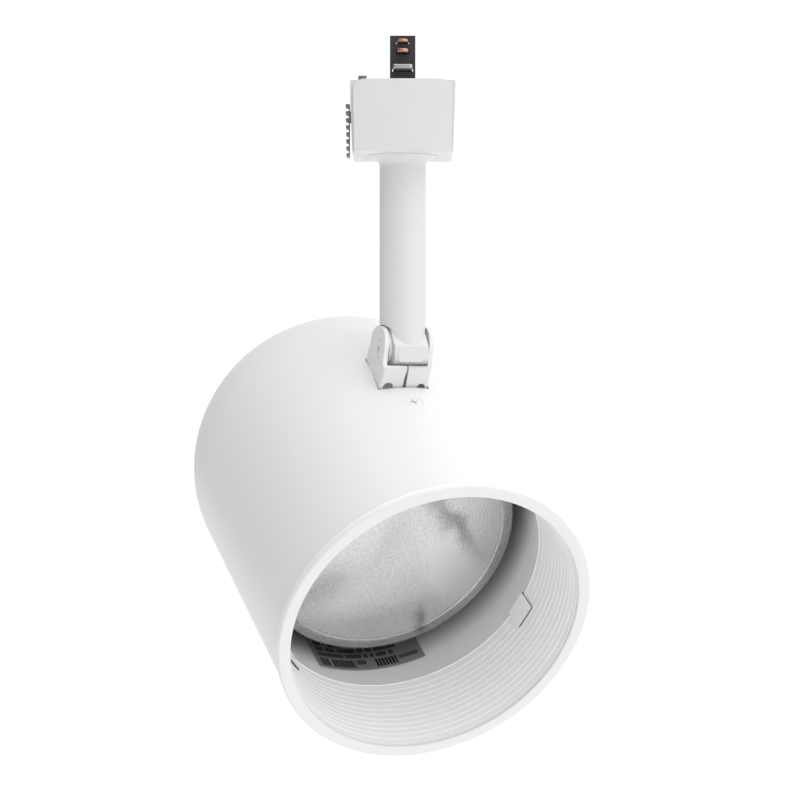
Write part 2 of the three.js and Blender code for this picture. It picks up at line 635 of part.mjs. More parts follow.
const stem = new THREE.Group();
stem.rotation.z = PAN;
spotlight.add(stem);
const nutLow = -ADAPTER.height + ADAPTER.floor + 2 * GAP + WAVE_WASHER.thick;
const lockNutLow = -ADAPTER.height - 2 * GAP - STEM.capThick - LOCK_NUT.thick - 0.2;
add(stem, 'stem_arm', stemArm(), WHITE_PAINT);
add(stem, 'stem_nipple', stemNipple(), STEEL);
add(stem, 'wave_washer', waveWasher(), STEEL);
add(stem, 'swivel_nut', hexNut(nutLow, SWIVEL_NUT), BRASS);
add(stem, 'stem_lock_nut', hexNut(lockNutLow, LOCK_NUT), BRASS);
for (const [label, side] of [['left', -1], ['right', 1]]) {
  add(stem, `friction_washer_${label}`, frictionWasher(side), STEEL);
  add(stem, `pivot_screw_${label}`, pivotScrew(side), WHITE_PAINT);
}

// The tilt group turns about the pivot; inside it, head is drawn in its own frame.
const tilt = new THREE.Group();
tilt.position.set(0, 0, -PIVOT_DROP);
tilt.rotation.x = Math.PI / 2 + AIM_DOWN;
stem.add(tilt);
const head = new THREE.Group();
head.position.set(0, -PIVOT.y, -PIVOT.z);
tilt.add(head);
add(head, 'yoke_bracket', yokeBracket(), WHITE_PAINT);
add(head, 'housing_screw_front', housingScrew(HOUSING_SCREWS[0]), WHITE_PAINT);
add(head, 'housing_screw_rear', housingScrew(HOUSING_SCREWS[1]), WHITE_PAINT);
add(head, 'housing_shell', housingShell(), WHITE_PAINT);
add(head, 'baffle_trim', baffleTrim(), WHITE_PAINT);
CLIP.angles.forEach((angle, i) => {
  add(head, `baffle_clip_${i + 1}`, baffleClip(angle), SILVER);
});
add(head, 'rating_label', ratingLabel(), LABEL_FOIL);
add(head, 'socket_body', socketBody(), PORCELAIN);
add(head, 'socket_liner', socketLiner(), BRASS);
add(head, 'socket_contact', socketContact(), BRASS);
add(head, 'socket_strap', socketStrap(), STEEL);
add(head, 'socket_rivet', socketRivet(), WHITE_PAINT);

add(head, 'lamp_lens', lampLens(), GLASS);
add(head, 'lamp_reflector', lampReflector(), SILVER);
add(head, 'lamp_capsule', lampCapsule(), GLASS);
add(head, 'lamp_cap', lampCap(), SILVER);
add(head, 'lamp_insulator', lampInsulator(), BLACK_GLASS);
add(head, 'lamp_contact', lampContact(), BRASS);

export default spotlight;
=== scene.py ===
# The looks of the track spotlight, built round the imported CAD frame. Sizes below are millimetres in
# one of three local frames (row, stem and head); every mesh is written in metres in the row frame.
import json
from math import cos, pi, radians, sin, sqrt, tan

import bpy
from mathutils import Matrix, Vector


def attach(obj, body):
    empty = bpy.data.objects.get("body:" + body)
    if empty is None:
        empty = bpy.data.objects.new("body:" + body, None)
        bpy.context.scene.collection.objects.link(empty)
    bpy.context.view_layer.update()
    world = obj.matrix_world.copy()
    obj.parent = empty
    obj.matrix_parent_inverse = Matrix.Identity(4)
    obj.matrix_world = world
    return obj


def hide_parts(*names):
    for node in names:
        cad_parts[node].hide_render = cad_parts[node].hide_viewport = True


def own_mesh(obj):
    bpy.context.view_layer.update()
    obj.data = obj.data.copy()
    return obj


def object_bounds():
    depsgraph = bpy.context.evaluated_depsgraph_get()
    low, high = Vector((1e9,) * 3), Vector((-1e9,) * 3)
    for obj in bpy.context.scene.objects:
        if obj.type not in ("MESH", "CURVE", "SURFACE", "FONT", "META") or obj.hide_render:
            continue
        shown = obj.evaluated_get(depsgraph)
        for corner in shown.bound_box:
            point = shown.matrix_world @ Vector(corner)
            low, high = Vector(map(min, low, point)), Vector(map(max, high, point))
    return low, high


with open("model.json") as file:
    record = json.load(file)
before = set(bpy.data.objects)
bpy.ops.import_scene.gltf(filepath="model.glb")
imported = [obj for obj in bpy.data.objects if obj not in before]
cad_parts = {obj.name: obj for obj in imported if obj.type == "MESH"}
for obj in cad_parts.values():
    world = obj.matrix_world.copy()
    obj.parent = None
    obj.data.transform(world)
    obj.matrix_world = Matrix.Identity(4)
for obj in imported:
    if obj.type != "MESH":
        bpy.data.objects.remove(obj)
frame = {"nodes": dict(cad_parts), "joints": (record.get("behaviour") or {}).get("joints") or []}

cad_box = [list(corner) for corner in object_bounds()]

MM = 0.001

# ---- Local frames, from the record's joints ----
joints = {j["name"]: j for j in frame["joints"]}
across = Vector(joints["tilt"]["axis"]).normalized()
pivot = Vector(joints["tilt"]["pos_m"])
optical = Vector(joints["lamp_turn"]["axis"]).normalized()
ring_centre = Vector(joints["lamp_turn"]["pos_m"])
head_up = optical.cross(across)


def facing(place, origin, angle, axis):
    return place @ Matrix.Translation(origin) @ Matrix.Rotation(angle, 4, axis)


def local_frame(x_axis, y_axis, z_axis, origin):
    turn = Matrix((x_axis, y_axis, z_axis)).transposed().to_4x4()
    return Matrix.Translation(origin) @ turn @ Matrix.Scale(MM, 4)


ROW = Matrix.Scale(MM, 4)
UP = Vector((0, 0, 1))
STEM_FRAME = local_frame(across, UP.cross(across), UP, Vector((0, 0, 0)))
HEAD_FRAME = local_frame(across, head_up, optical, ring_centre)
PIVOT_DROP = -pivot.z / MM
PIVOT_Y = (pivot - ring_centre).dot(head_up) / MM
PIVOT_Z = (pivot - ring_centre).dot(optical) / MM

# ---- Dimensions in millimetres, and segments round a turned body ----
FINE = 192
MEDIUM = 96
SMALL = 48
CLEAR = 0.3              # gap between neighbouring pieces
OVERCUT = 1              # how far a cutter reaches past the face it opens

ADAPTER = {"half": 18.6, "front": -14.5, "back": 19, "height": 25.4, "wall": 2.2, "floor": 3,
           "draft": 0.9, "edge": 0.7}
COVER = {"half": 17.4, "front": -19, "back": -14.8, "corner": 4, "sweep": 1.2, "draft": 0.4}
COVER_SCREW = {"x": 8.4, "z": -10.3, "sink_r": 3, "head_r": 2.6, "shank_r": 1.5, "length": 17}
TAB = {"ribs": 8, "pitch": 2.5, "first": -7.5, "rib_half": 0.62, "plate": 0.35, "reach": 1.5,
       "lean": 0.04, "low_y": -2, "high_y": 4, "arm_low": -13, "arm_top": -9.5}
SPRING = {"x": -14, "y": 3, "radius": 1.6, "wire": 0.3, "turns": 6, "low": -21.8, "high": -13.6}
NECK = {"half": 4.5, "top": 17, "flange_x": 11, "flange_y": 9, "flange_low": -5.5}
CONTACT = {"low": 10.6, "thick": 1.2, "half": 2, "reach": 8, "root": 1.6}
GROUND = {"low": 14.4, "thick": 1, "half": 2, "reach": 6.4}
LUG = {"low": 4.5, "thick": 1.5, "half_x": 3.4, "half_y": 11.5}
STEM = {"radius": 8.2, "bore": 6.4, "flare_r": 12.8, "flare_height": 3.4, "top": -25.43,
        "wireway": 3.2, "nipple_hole": 4.5}
KNUCKLE = {"front": 8.6, "bottom": -5.9, "back": -8.1, "half": 6.4, "crease": 0.6, "ear_room": 8.4}
PIVOT_HOLE = 2.3
PIVOT_SCREW = {"length": 8, "shank_r": 2, "head_r": 3.1, "head": 1.2}
WASHER = {"inner_face": 6.45, "left": (6.3, 7.7), "right": (5.2, 7)}
YOKE = {"half": 9.35, "sheet": 1.6, "ear_r": 8, "ahead": 11.6, "top": -1, "slit": 0.3,
        "lean": 0.15, "lean_start": 2}
YOKE_BASE = {"front": -49.5, "back": -99, "top": 53.8, "thick": 1.6}
YOKE_NOTCHES = ((-6.0, 1.9), (6.6, 1.6))
SLOT = {"front": -65.2, "back": -86.2, "half": 9.7}
HOUSING = {"radius": 56.2, "wall": 1.2, "front": -1.6, "back": -150.3, "corner": 47.7}
HOUSING_SCREWS = (("front", -55.6), ("rear", -93.5))
HOUSING_SCREW = {"shift": -1.6, "sink_r": 3.4, "shank_r": 1.6, "length": 6}
RING = {"outer": 57.15, "inner": 52.65, "lip": 2.6, "thick": 1.2}
BAFFLE = {"depth": 34.2, "back_r": 50.67, "wall": 1.1, "steps": 12, "first": 1.9, "pitch": 2.57,
          "step": 0.15}
CLIP = {"width": 9.1, "front": -25.6, "sheet": 0.45, "angles": (108.6, 228.6, -11.4)}
LABEL = {"from": 153.5, "to": 197.5, "front": -48, "back": -91, "thick": 0.3}
LAMP = {"rim_r": 48.1, "face": -51.5, "dome": 2, "band": 4.6, "glass": 2.4, "neck_r": 15.5,
        "neck_z": -106}
CAP = {"radius": 13.1, "thread": 0.6, "pitch": 3.629, "turns": 5, "front": -114, "back": -138.5}
SOCKET = {"radius": 18.5, "front": -112.5, "back": -146, "bore": 14.7, "floor": -142.7,
          "contact_hole": 1.4}
RIVET_HOLE = 2.3
TINY = 0.01              # a radius that stands for the axis while corners are rounded


# ---- Mesh helpers, in the head's frame unless a call names another ----
def new_object(name, vertices, faces, place):
    mesh = bpy.data.meshes.new(name)
    mesh.from_pydata([place @ Vector(v) for v in vertices], [], faces)
    mesh.validate()
    piece = bpy.data.objects.new(name, mesh)
    bpy.context.scene.collection.objects.link(piece)
    return piece


def smooth(piece, angle=35):
    """Smooth shading, with edges sharper than the angle kept crisp."""
    piece.data.shade_smooth()
    piece.data.set_sharp_from_angle(angle=radians(angle))


def apply_modifiers(piece):
    graph = bpy.context.evaluated_depsgraph_get()
    evaluated = bpy.data.meshes.new_from_object(piece.evaluated_get(graph))
    old = piece.data
    piece.modifiers.clear()
    piece.data = evaluated
    bpy.data.meshes.remove(old)


def boolean(piece, other, operation):
    modifier = piece.modifiers.new(operation, "BOOLEAN")
    modifier.operation = operation
    modifier.solver = "MANIFOLD"
    modifier.object = other
    apply_modifiers(piece)
    bpy.data.objects.remove(other)
    return piece


def carve(piece, *cutters):
    for cutter in cutters:
        boolean(piece, cutter, "DIFFERENCE")
    return piece


def unite(piece, *others):
    for other in others:
        boolean(piece, other, "UNION")
    return piece


def bevel(piece, width, segments=2, angle=35):
    modifier = piece.modifiers.new("bevel", "BEVEL")
    modifier.width = width * MM
    modifier.segments = segments
    modifier.limit_method = "ANGLE"
    modifier.angle_limit = radians(angle)
    modifier.miter_outer = "MITER_ARC"
    apply_modifiers(piece)
    return piece


def arc(centre_a, centre_b, radius, start, end, steps):
    """Points on an arc, angles in degrees."""
    angles = [radians(start + (end - start) * i / steps) for i in range(steps + 1)]
    return [(centre_a + radius * cos(a), centre_b + radius * sin(a)) for a in angles]


def circle(radius, segments):
    angles = [2 * pi * k / segments for k in range(segments)]
    return [(radius * cos(a), radius * sin(a)) for a in angles]


def rounded(corners, radius, steps=4):
    """A closed outline with its corners rounded; a corner may bring its own radius third."""
    outline = []
    count = len(corners)
    for i, corner in enumerate(corners):
        here = Vector(corner[:2])
        before = Vector(corners[i - 1][:2]) - here
        after = Vector(corners[(i + 1) % count][:2]) - here
        wanted = corner[2] if len(corner) > 2 else radius
        turn = before.angle(after, pi)
        if wanted <= 0 or turn > radians(178):
            outline.append(tuple(here))
            continue
        reach = min(wanted / tan(turn / 2), 0.48 * before.length, 0.48 * after.length)
        start = here + before.normalized() * reach
        end = here + after.normalized() * reach
        for k in range(steps + 1):
            t = k / steps
            point = start * (1 - t) ** 2 + here * (2 * t * (1 - t)) + end * t ** 2
            outline.append(tuple(point))
    return outline


def turned(name, profile, segments, place=HEAD_FRAME):
    """A body turned about the local Z axis from a closed profile of (radius, z) points."""
    vertices, rings = [], []
    for radius, z in profile:
        if radius < 1e-6:
            rings.append([len(vertices)] * segments)
            vertices.append((0, 0, z))
            continue
        rings.append(list(range(len(vertices), len(vertices) + segments)))
        vertices += [(a, b, z) for a, b in circle(radius, segments)]
    faces = []
    for i, ring in enumerate(rings):
        following = rings[(i + 1) % len(rings)]
        for k in range(segments):
            corners = [ring[k], ring[(k + 1) % segments], following[(k + 1) % segments], following[k]]
            face = list(dict.fromkeys(corners))
            if len(face) > 2:
                faces.append(face)
    return orient(new_object(name, vertices, faces, place))


def orient(piece):
    """Turns a closed body's faces outwards."""
    mesh = piece.data
    volume = 0.0
    mesh.calc_loop_triangles()
    for triangle in mesh.loop_triangles:
        a, b, c = (mesh.vertices[i].co for i in triangle.vertices)
        volume += a.dot(b.cross(c))
    if volume < 0:
        mesh.flip_normals()
    return piece


def axis_point(axis, a, b, depth):
    return {"x": (depth, a, b), "y": (a, depth, b), "z": (a, b, depth)}[axis]


def pushed(name, outline, axis, low, high, place=HEAD_FRAME):
    """An outline of the other two coordinates, in alphabetical order, pushed along one local axis."""
    count = len(outline)
    vertices = [axis_point(axis, a, b, depth) for depth in (low, high) for a, b in outline]
    faces = [list(range(count))[::-1], list(range(count, 2 * count))]
    for i in range(count):
        k = (i + 1) % count
        faces.append([i, k, count + k, count + i])
    return orient(new_object(name, vertices, faces, place))


def rectangle(low, high):
    return [(low[0], low[1]), (high[0], low[1]), (high[0], high[1]), (low[0], high[1])]


def box(name, low, high, place):
    return pushed(name, rectangle(low, high), "z", low[2], high[2], place)


def bar(name, axis, centre, low, high, radius, place=HEAD_FRAME, end_radius=None, segments=SMALL):
    """A round bar or cone along a local axis; centre holds the other two coordinates."""
    end_radius = radius if end_radius is None else end_radius
    vertices = []
    for depth, r in ((low, radius), (high, end_radius)):
        vertices += [axis_point(axis, centre[0] + a, centre[1] + b, depth)
                     for a, b in circle(r, segments)]
    faces = [list(range(segments))[::-1], list(range(segments, 2 * segments))]
    faces += [[k, (k + 1) % segments, segments + (k + 1) % segments, segments + k]
              for k in range(segments)]
    return orient(new_object(name, vertices, faces, place))


def on_axis(profile):
    """The profile with its nearly-zero radii put exactly on the axis, after rounding."""
    return [(0 if radius < 2 * TINY else radius, z) for radius, z in profile]


def finish(piece, body, mat, replaced, angle=35):
    """Shades a piece, gives it its material, hangs it on its body and hides the CAD node it stands for.
    """
    smooth(piece, angle)
    modifier = piece.modifiers.new("normals", "WEIGHTED_NORMAL")
    modifier.keep_sharp = True
    apply_modifiers(piece)
    piece.data.materials.clear()
    piece.data.materials.append(mat)
    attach(piece, body)
    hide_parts(replaced)


# ---- Materials ----
# Noise scales are per metre and bump heights are in metres.
ORANGE_PEEL = (2600, 0.00002, 0.35)       # grain, height and strength of a powder coat's bump
CASE_WHITE = 0.82
# Painted light and shade inside the case: near white by the mouth, dropping with depth behind the lamp
# face.
INSIDE_PAINTED_LIGHT = {"near": 0.98, "drop": 0.72, "starts": 3, "ends": 22}


def shader_inputs(mat):
    return mat.node_tree.nodes["Principled BSDF"].inputs


def shader(name, color, roughness, metallic=0.0, **sockets):
    mat = bpy.data.materials.new(name)
    mat.use_nodes = True
    inputs = shader_inputs(mat)
    inputs["Base Color"].default_value = (*color, 1)
    inputs["Roughness"].default_value = roughness
    inputs["Metallic"].default_value = metallic
    for socket, value in sockets.items():
        inputs[socket.replace("_", " ")].default_value = value
    return mat


def node(mat, kind, **settings):
    made = mat.node_tree.nodes.new(kind)
    for key, value in settings.items():
        if key in made.inputs:
            made.inputs[key].default_value = value
        else:
            setattr(made, key, value)
    return made


def link(mat, source, target):
    mat.node_tree.links.new(source, target)


def maths(mat, operation, *values):
    made = node(mat, "ShaderNodeMath", operation=operation)
    for socket, value in zip(made.inputs, values):
        if isinstance(value, (int, float)):
            socket.default_value = value
        else:
            link(mat, value, socket)
    return made.outputs["Value"]


def along(mat, vector, direction):
    """How far a vector reaches along a fixed direction."""
    dot = node(mat, "ShaderNodeVectorMath", operation="DOT_PRODUCT")
    link(mat, vector, dot.inputs[0])
    dot.inputs[1].default_value = direction
    return dot.outputs["Value"]


def object_space(mat, output="Object"):
    return node(mat, "ShaderNodeTexCoord").outputs[output]


def noise(mat, scale, detail=2.0, stretch=None):
    """Noise in the object's own space; a small number in stretch draws it out along that axis."""
    source = object_space(mat)
    if stretch:
        mapping = node(mat, "ShaderNodeMapping", Scale=stretch)
        link(mat, source, mapping.inputs["Vector"])
        source = mapping.outputs["Vector"]
    texture = node(mat, "ShaderNodeTexNoise", Scale=scale, Detail=detail)
    link(mat, source, texture.inputs["Vector"])
    return texture.outputs["Fac"]


def ranged(mat, value, low, high, start=0.0, end=1.0, **settings):
    """Carries start..end over to low..high, and stops at the ends."""
    spread = node(mat, "ShaderNodeMapRange", **settings)
    for socket, number in (("From Min", start), ("From Max", end), ("To Min", low),
                           ("To Max", high)):
        spread.inputs[socket].default_value = number
    link(mat, value, spread.inputs["Value"])
    return spread.outputs["Result"]


def toned(mat, value, dark, light):
    """Varies the base colour between two tones, each a grey or a colour."""
    mix = node(mat, "ShaderNodeMix", data_type="RGBA")
    for socket, tone in ((mix.inputs[6], dark), (mix.inputs[7], light)):
        color = (tone, tone, tone) if isinstance(tone, (int, float)) else tone
        socket.default_value = (*color, 1)
    link(mat, value, mix.inputs[0])
    link(mat, mix.outputs[2], shader_inputs(mat)["Base Color"])


def bumped(mat, height, distance, strength=1.0):
    bump = node(mat, "ShaderNodeBump", Strength=strength, Distance=distance)
    link(mat, height, bump.inputs["Height"])
    link(mat, bump.outputs["Normal"], shader_inputs(mat)["Normal"])


def peeled(mat):
    grain, height, strength = ORANGE_PEEL
    bumped(mat, noise(mat, grain, 3.0), height, strength)


def depth_range(mat, low, high):
    """Nought to one along the head's axis, between two places in millimetres from the ring."""
    place = along(mat, object_space(mat), optical / MM)
    ring = optical.dot(ring_centre) / MM
    return ranged(mat, place, 0.0, 1.0, ring + low, ring + high)


def head_plane(mat, skew_x=0.0, skew_y=0.0):
    """Places across and up the head, in millimetres, slid sideways with depth behind the lens."""
    offset = node(mat, "ShaderNodeVectorMath", operation="SUBTRACT")
    link(mat, object_space(mat), offset.inputs[0])
    offset.inputs[1].default_value = ring_centre
    x, y, z = (along(mat, offset.outputs["Vector"], direction / MM)
               for direction in (across, head_up, optical))
    depth = maths(mat, "SUBTRACT", LAMP["face"], z)
    return (maths(mat, "MULTIPLY_ADD", depth, -skew_x, x),
            maths(mat, "MULTIPLY_ADD", depth, -skew_y, y))


def squared_radius(mat):
    """Distance from the head's axis, squared."""
    x, y = head_plane(mat)
    return maths(mat, "MULTIPLY_ADD", x, x, maths(mat, "MULTIPLY", y, y))


def powder_coat(name, tone, roughness=0.42):
    """Satin white powder coat: a faint orange peel and a little variation in gloss."""
    color = (tone, tone, tone * 0.995)
    mat = shader(name, color, roughness)
    peeled(mat)
    patches = noise(mat, 35, 2.0)
    link(mat, ranged(mat, patches, roughness - 0.05, roughness + 0.05), shader_inputs(mat)["Roughness"])
    toned(mat, patches, [c * 0.985 for c in color], color)
    return mat


def baffle_paint_and_painted_light():
    """Matt white inside the baffle, painted brighter than the case's coat as painted light falling in at
    the mouth, and the slightly darker satin coat of the case on its rim.
    """
    # Painted light: the inside is near pure white, brighter than the case's same coat.
    inside = (0.99, 0.99, 0.985)
    mat = shader("baffle_paint_and_painted_light", inside, 0.5)
    peeled(mat)
    toned(mat, depth_range(mat, -0.5, -3), (CASE_WHITE, CASE_WHITE, CASE_WHITE - 0.005), inside)
    return mat


def case_paint_and_painted_light():
    """Satin white outside. Inside, painted light by the mouth and painted shade deepening behind the
    lamp.
    """
    mat = shader("case_paint_and_painted_light", (CASE_WHITE,) * 3, 0.42)
    peeled(mat)
    middle = HOUSING["radius"] - HOUSING["wall"] / 2
    outside = maths(mat, "GREATER_THAN", squared_radius(mat), middle * middle)
    dome = HOUSING["back"] + HOUSING["corner"] + 2
    outside = maths(mat, "MAXIMUM", outside, depth_range(mat, dome, dome - 0.5))
    # Painted shade inside the case, deepening behind the lamp face; painted light near the mouth.
    inner = maths(mat, "MULTIPLY_ADD", depth_range(mat, LAMP["face"] + INSIDE_PAINTED_LIGHT["starts"],
                              LAMP["face"] - INSIDE_PAINTED_LIGHT["ends"]), -INSIDE_PAINTED_LIGHT["drop"], INSIDE_PAINTED_LIGHT["near"])
    inner = maths(mat, "MULTIPLY", maths(mat, "SUBTRACT", 1.0, outside), inner)
    tone = maths(mat, "MULTIPLY_ADD", outside, CASE_WHITE, inner)
    toned(mat, tone, 0, (1, 1, 0.995))
    return mat


def moulded_plastic(name, tone, roughness):
    """Moulded plastic with a fine spark-eroded texture."""
    mat = shader(name, (tone, tone, tone), roughness)
    bumped(mat, noise(mat, 4200), 0.00002, 0.3)
    toned(mat, noise(mat, 60), tone * 0.97, tone)
    return mat


def plain_metal(name, color, roughness, stretch):
    """Rolled or turned metal with fine streaks along the stretched direction."""
    mat = shader(name, color, roughness, 1.0)
    streaks = noise(mat, 700, 3.0, stretch)
    link(mat, ranged(mat, streaks, roughness * 0.75, roughness * 1.3), shader_inputs(mat)["Roughness"])
    toned(mat, streaks, [c * 0.86 for c in color], color)
    bumped(mat, streaks, 0.00001, 0.4)
    return mat


def clip_steel_painted_edge_shade():
    """Bright sheet for the clips, with painted shade on its edges: where it doesn't face the axis it is
    painted dark, for the thin shadow round the raised clip.
    """
    mat = shader("clip_steel", (1, 1, 1), 0.5, 0.1)
    normal = object_space(mat, "Normal")
    parts = [maths(mat, "MULTIPLY", along(mat, normal, direction), place)
             for direction, place in zip((across, head_up), head_plane(mat))]
    inward = maths(mat, "ABSOLUTE", maths(mat, "ADD", *parts))
    flat = maths(mat, "GREATER_THAN", inward, (RING["inner"] - 3) * 0.8)
    # Painted shade: the clip's edges are painted near-black for the thin shadow round it.
    toned(mat, flat, 0.05, 1)
    bumped(mat, noise(mat, 700, 3.0), 0.00001, 0.4)
    return mat


def glazed_porcelain():
    mat = shader("porcelain", (0.84, 0.82, 0.77), 0.25)
    toned(mat, noise(mat, 500, 4.0), (0.8, 0.78, 0.72), (0.86, 0.84, 0.79))
    bumped(mat, noise(mat, 120), 0.0001, 0.3)
    return mat


def soft_patch(mat, plane, centre, angle, long_half, wide_half):
    """One inside an ellipse on the plane, fading softly to nothing outside it."""
    cosine, sine = cos(radians(angle)), sin(radians(angle))
    x = maths(mat, "SUBTRACT", plane[0], centre[0])
    y = maths(mat, "SUBTRACT", plane[1], centre[1])
    terms = []
    for part_x, part_y, size in ((cosine, sine, long_half), (-sine, cosine, wide_half)):
        place = maths(mat, "MULTIPLY_ADD", x, part_x / size, maths(mat, "MULTIPLY", y, part_y / size))
        terms.append(maths(mat, "MULTIPLY", place, place))
    spread = maths(mat, "ADD", *terms)
    return maths(mat, "EXPONENT", maths(mat, "MULTIPLY", spread, -1.0))

# Painted reflections on the lamp face: soft light and dark patches for what the reflector mirrors.
PAINTED_REFLECTION_PATCHES = (
    # centre, angle, half length, half width, change of tone
    ((25, 7), -48, 15, 3.2, -0.5),
    ((12, 20), -60, 8, 4, -0.25),
    ((20, -35), -70, 5, 2, -0.45),
    ((-22, -19), 30, 13, 7, -0.3),
    ((0, 2), 80, 14, 5, -0.12),
    ((-30, 4), 60, 13, 7, -0.34),
    ((4, -33), 10, 20, 5, -0.12),
    ((28, -12), -55, 16, 8, 0.4),
)

REFLECTOR_SKEW = (0.49, -0.63)       # how far the view slides sideways per millimetre of depth


def painted_reflection_tone(mat, skew, level, grain, waviness):
    """Grey tone of the lamp face: painted reflections as the reflector's streaks, with a fine sparkle."""
    plane = head_plane(mat, *skew)
    warp = maths(mat, "SUBTRACT", noise(mat, 90, 3.0), 0.5)
    wavy = [maths(mat, "MULTIPLY_ADD", warp, waviness, place) for place in plane]
    tone = level
    for *ellipse, change in PAINTED_REFLECTION_PATCHES:
        tone = maths(mat, "MULTIPLY_ADD", soft_patch(mat, wavy, *ellipse), change, tone)
    sparkle = ranged(mat, noise(mat, 1300, 3.0), -grain, grain)
    return maths(mat, "ADD", tone, sparkle)


def stippled_glass():
    """Pressed lens glass, half clear and half frosted by a fine random stipple, with painted reflection
    patches and a grey rim.
    """
    mat = shader("lens_glass", (1, 1, 1), 0.26, 0.6, Transmission_Weight=0.4, IOR=1.5)
    tone = painted_reflection_tone(mat, (0, 0), 0.86, 0.26, 7)
    radius = maths(mat, "SQRT", squared_radius(mat))
    edge = LAMP["rim_r"] - LAMP["band"]
    rim = ranged(mat, radius, 0, 0.42, edge - 0.6, edge + 0.6)
    toned(mat, maths(mat, "SUBTRACT", tone, rim), 0.06, 1)
    bumped(mat, noise(mat, 1500, 3.0), 0.0003, 0.7)
    return mat


def reflector_mirror():
    """Aluminised glass: bright, finely dimpled, with painted reflection streaks where it mirrors the lamp
    base.
    """
    mat = shader("reflector_silver", (0.95, 0.95, 0.95), 0.35, 0.6)
    toned(mat, painted_reflection_tone(mat, REFLECTOR_SKEW, 0.93, 0.1, 10), 0.05, 1)
    bumped(mat, noise(mat, 420, 3.0), 0.0005, 0.6)
    return mat

LABEL_ROWS = (
    # low and high along the label's depth, low and high round it, marks round it, mark width
    (0.872, 0.975, 0.63, 0.965, 34, 0.72),
    (0.872, 0.93, 0.52, 0.61, 40, 0.7),
    (0.872, 0.975, 0.24, 0.5, 34, 0.72),
    (0.885, 0.93, 0.04, 0.22, 60, 0.65),
    (0.786, 0.84, 0.24, 0.965, 52, 0.72),
    (0.709, 0.763, 0.2, 0.965, 52, 0.72),
    (0.632, 0.686, 0.3, 0.965, 52, 0.72),
    (0.4, 0.56, 0.1, 0.9, 20, 0.8),
)

BLANK_SHARE = 0.14       # share of the marks that are left out


def label_foil():
    """Silver foil printed with rows of plain dark marks, placed by the label's UV map."""
    mat = shader("label_foil", (0.3, 0.3, 0.3), 0.42, 0.3)
    coordinates = node(mat, "ShaderNodeUVMap", uv_map="label")
    split = node(mat, "ShaderNodeSeparateXYZ")
    link(mat, coordinates.outputs["UV"], split.inputs["Vector"])
    around, depth = split.outputs["X"], split.outputs["Y"]
    ink = 0.0
    for low, high, start, end, marks, width in LABEL_ROWS:
        place = maths(mat, "MULTIPLY", around, marks)
        cell = node(mat, "ShaderNodeCombineXYZ", Y=low * 100)
        link(mat, maths(mat, "FLOOR", place), cell.inputs["X"])
        random = node(mat, "ShaderNodeTexWhiteNoise", noise_dimensions="2D")
        link(mat, cell.outputs["Vector"], random.inputs["Vector"])
        mark = maths(mat, "LESS_THAN", maths(mat, "FRACT", place), width)
        for test, value, bound in (("GREATER_THAN", random.outputs["Value"], BLANK_SHARE),
                                   ("GREATER_THAN", depth, low), ("LESS_THAN", depth, high),
                                   ("GREATER_THAN", around, start), ("LESS_THAN", around, end)):
            mark = maths(mat, "MULTIPLY", mark, maths(mat, test, value, bound))
        ink = maths(mat, "MAXIMUM", ink, mark)
    toned(mat, ink, 0.36, 0.015)
    return mat


def capsule_glass():
    mat = shader("capsule_glass", (0.97, 0.97, 0.97), 0.03, Transmission_Weight=1.0)
    bumped(mat, noise(mat, 200), 0.0002, 0.4)
    return mat


paint = powder_coat("white_paint", CASE_WHITE)
case_coat_and_painted_light = case_paint_and_painted_light()
stem_coat = powder_coat("stem_paint", 0.75)
baffle_coat_and_painted_light = baffle_paint_and_painted_light()
plastic = moulded_plastic("white_plastic", 0.76, 0.45)
# The release tab's dark grey is painted shade, for the shade on the adapter's left side.
tab_painted_shade = moulded_plastic("tab_painted_shade", 0.2, 0.5)
black_plastic = moulded_plastic("dark_plastic", 0.03, 0.5)
copper = plain_metal("copper", (0.72, 0.4, 0.26), 0.3, (1, 0.1, 1))
brass = plain_metal("brass", (0.7, 0.53, 0.26), 0.32, (0.2, 1, 1))
steel = plain_metal("steel", (0.6, 0.61, 0.63), 0.34, (1, 1, 0.15))
clip_steel = clip_steel_painted_edge_shade()
cap_metal = plain_metal("cap_metal", (0.74, 0.74, 0.75), 0.3, (1, 0.2, 1))
porcelain = glazed_porcelain()
lens_glass = stippled_glass()
mirror = reflector_mirror()
foil = label_foil()
quartz = capsule_glass()
black_glass = moulded_plastic("black_glass", 0.02, 0.12)


# ---- Adapter ----
def make_adapter_housing():
    half, height, wall = ADAPTER["half"], ADAPTER["height"], ADAPTER["wall"]
    front, back, narrow = ADAPTER["front"], ADAPTER["back"], half - ADAPTER["draft"]
    outline = rounded([(-half, 0), (-narrow, -height), (narrow, -height), (half, 0)], ADAPTER["edge"])
    shell = pushed("adapter_housing_shell", outline, "y", front, back, ROW)
    roof = -wall - OVERCUT
    neck = NECK["half"] + CLEAR
    low, high = -height - OVERCUT, -height + OVERCUT
    carve(shell,
          box("pocket", (-half + wall, front - OVERCUT, -height + ADAPTER["floor"]),
              (half - wall, back - wall, -wall), ROW),
          box("dog_hole", (-16.1, -2.3, roof), (-12.5, 2.3, OVERCUT), ROW),
          box("neck_hole", (-neck, -neck, roof), (neck, neck, OVERCUT), ROW),
          box("arm_slot", (-half - OVERCUT, -1.8, -17.8), (-half + 3, 5.3, -9.2), ROW),
          bar("stem_hole", "z", (0, 0), low, -height + 4, STEM["nipple_hole"], ROW))
    for side in (-1, 1):
        centre = side * COVER_SCREW["x"], COVER_SCREW["z"]
        carve(shell, bar("screw_sink", "y", centre, back - 1.8, back + OVERCUT,
                         COVER_SCREW["sink_r"], ROW))
        carve(shell, box("pull_notch", (side * 12.6 - 1.5, 6.5, low),
                         (side * 12.6 + 1.5, 7.6, high), ROW))
    carve(shell, box("edge_notch", (-17.2, -8.2, low), (-14.9, -7.2, high), ROW))
    bevel(shell, 0.35, 2, 50)
    finish(shell, "adapter", plastic, "adapter_housing")


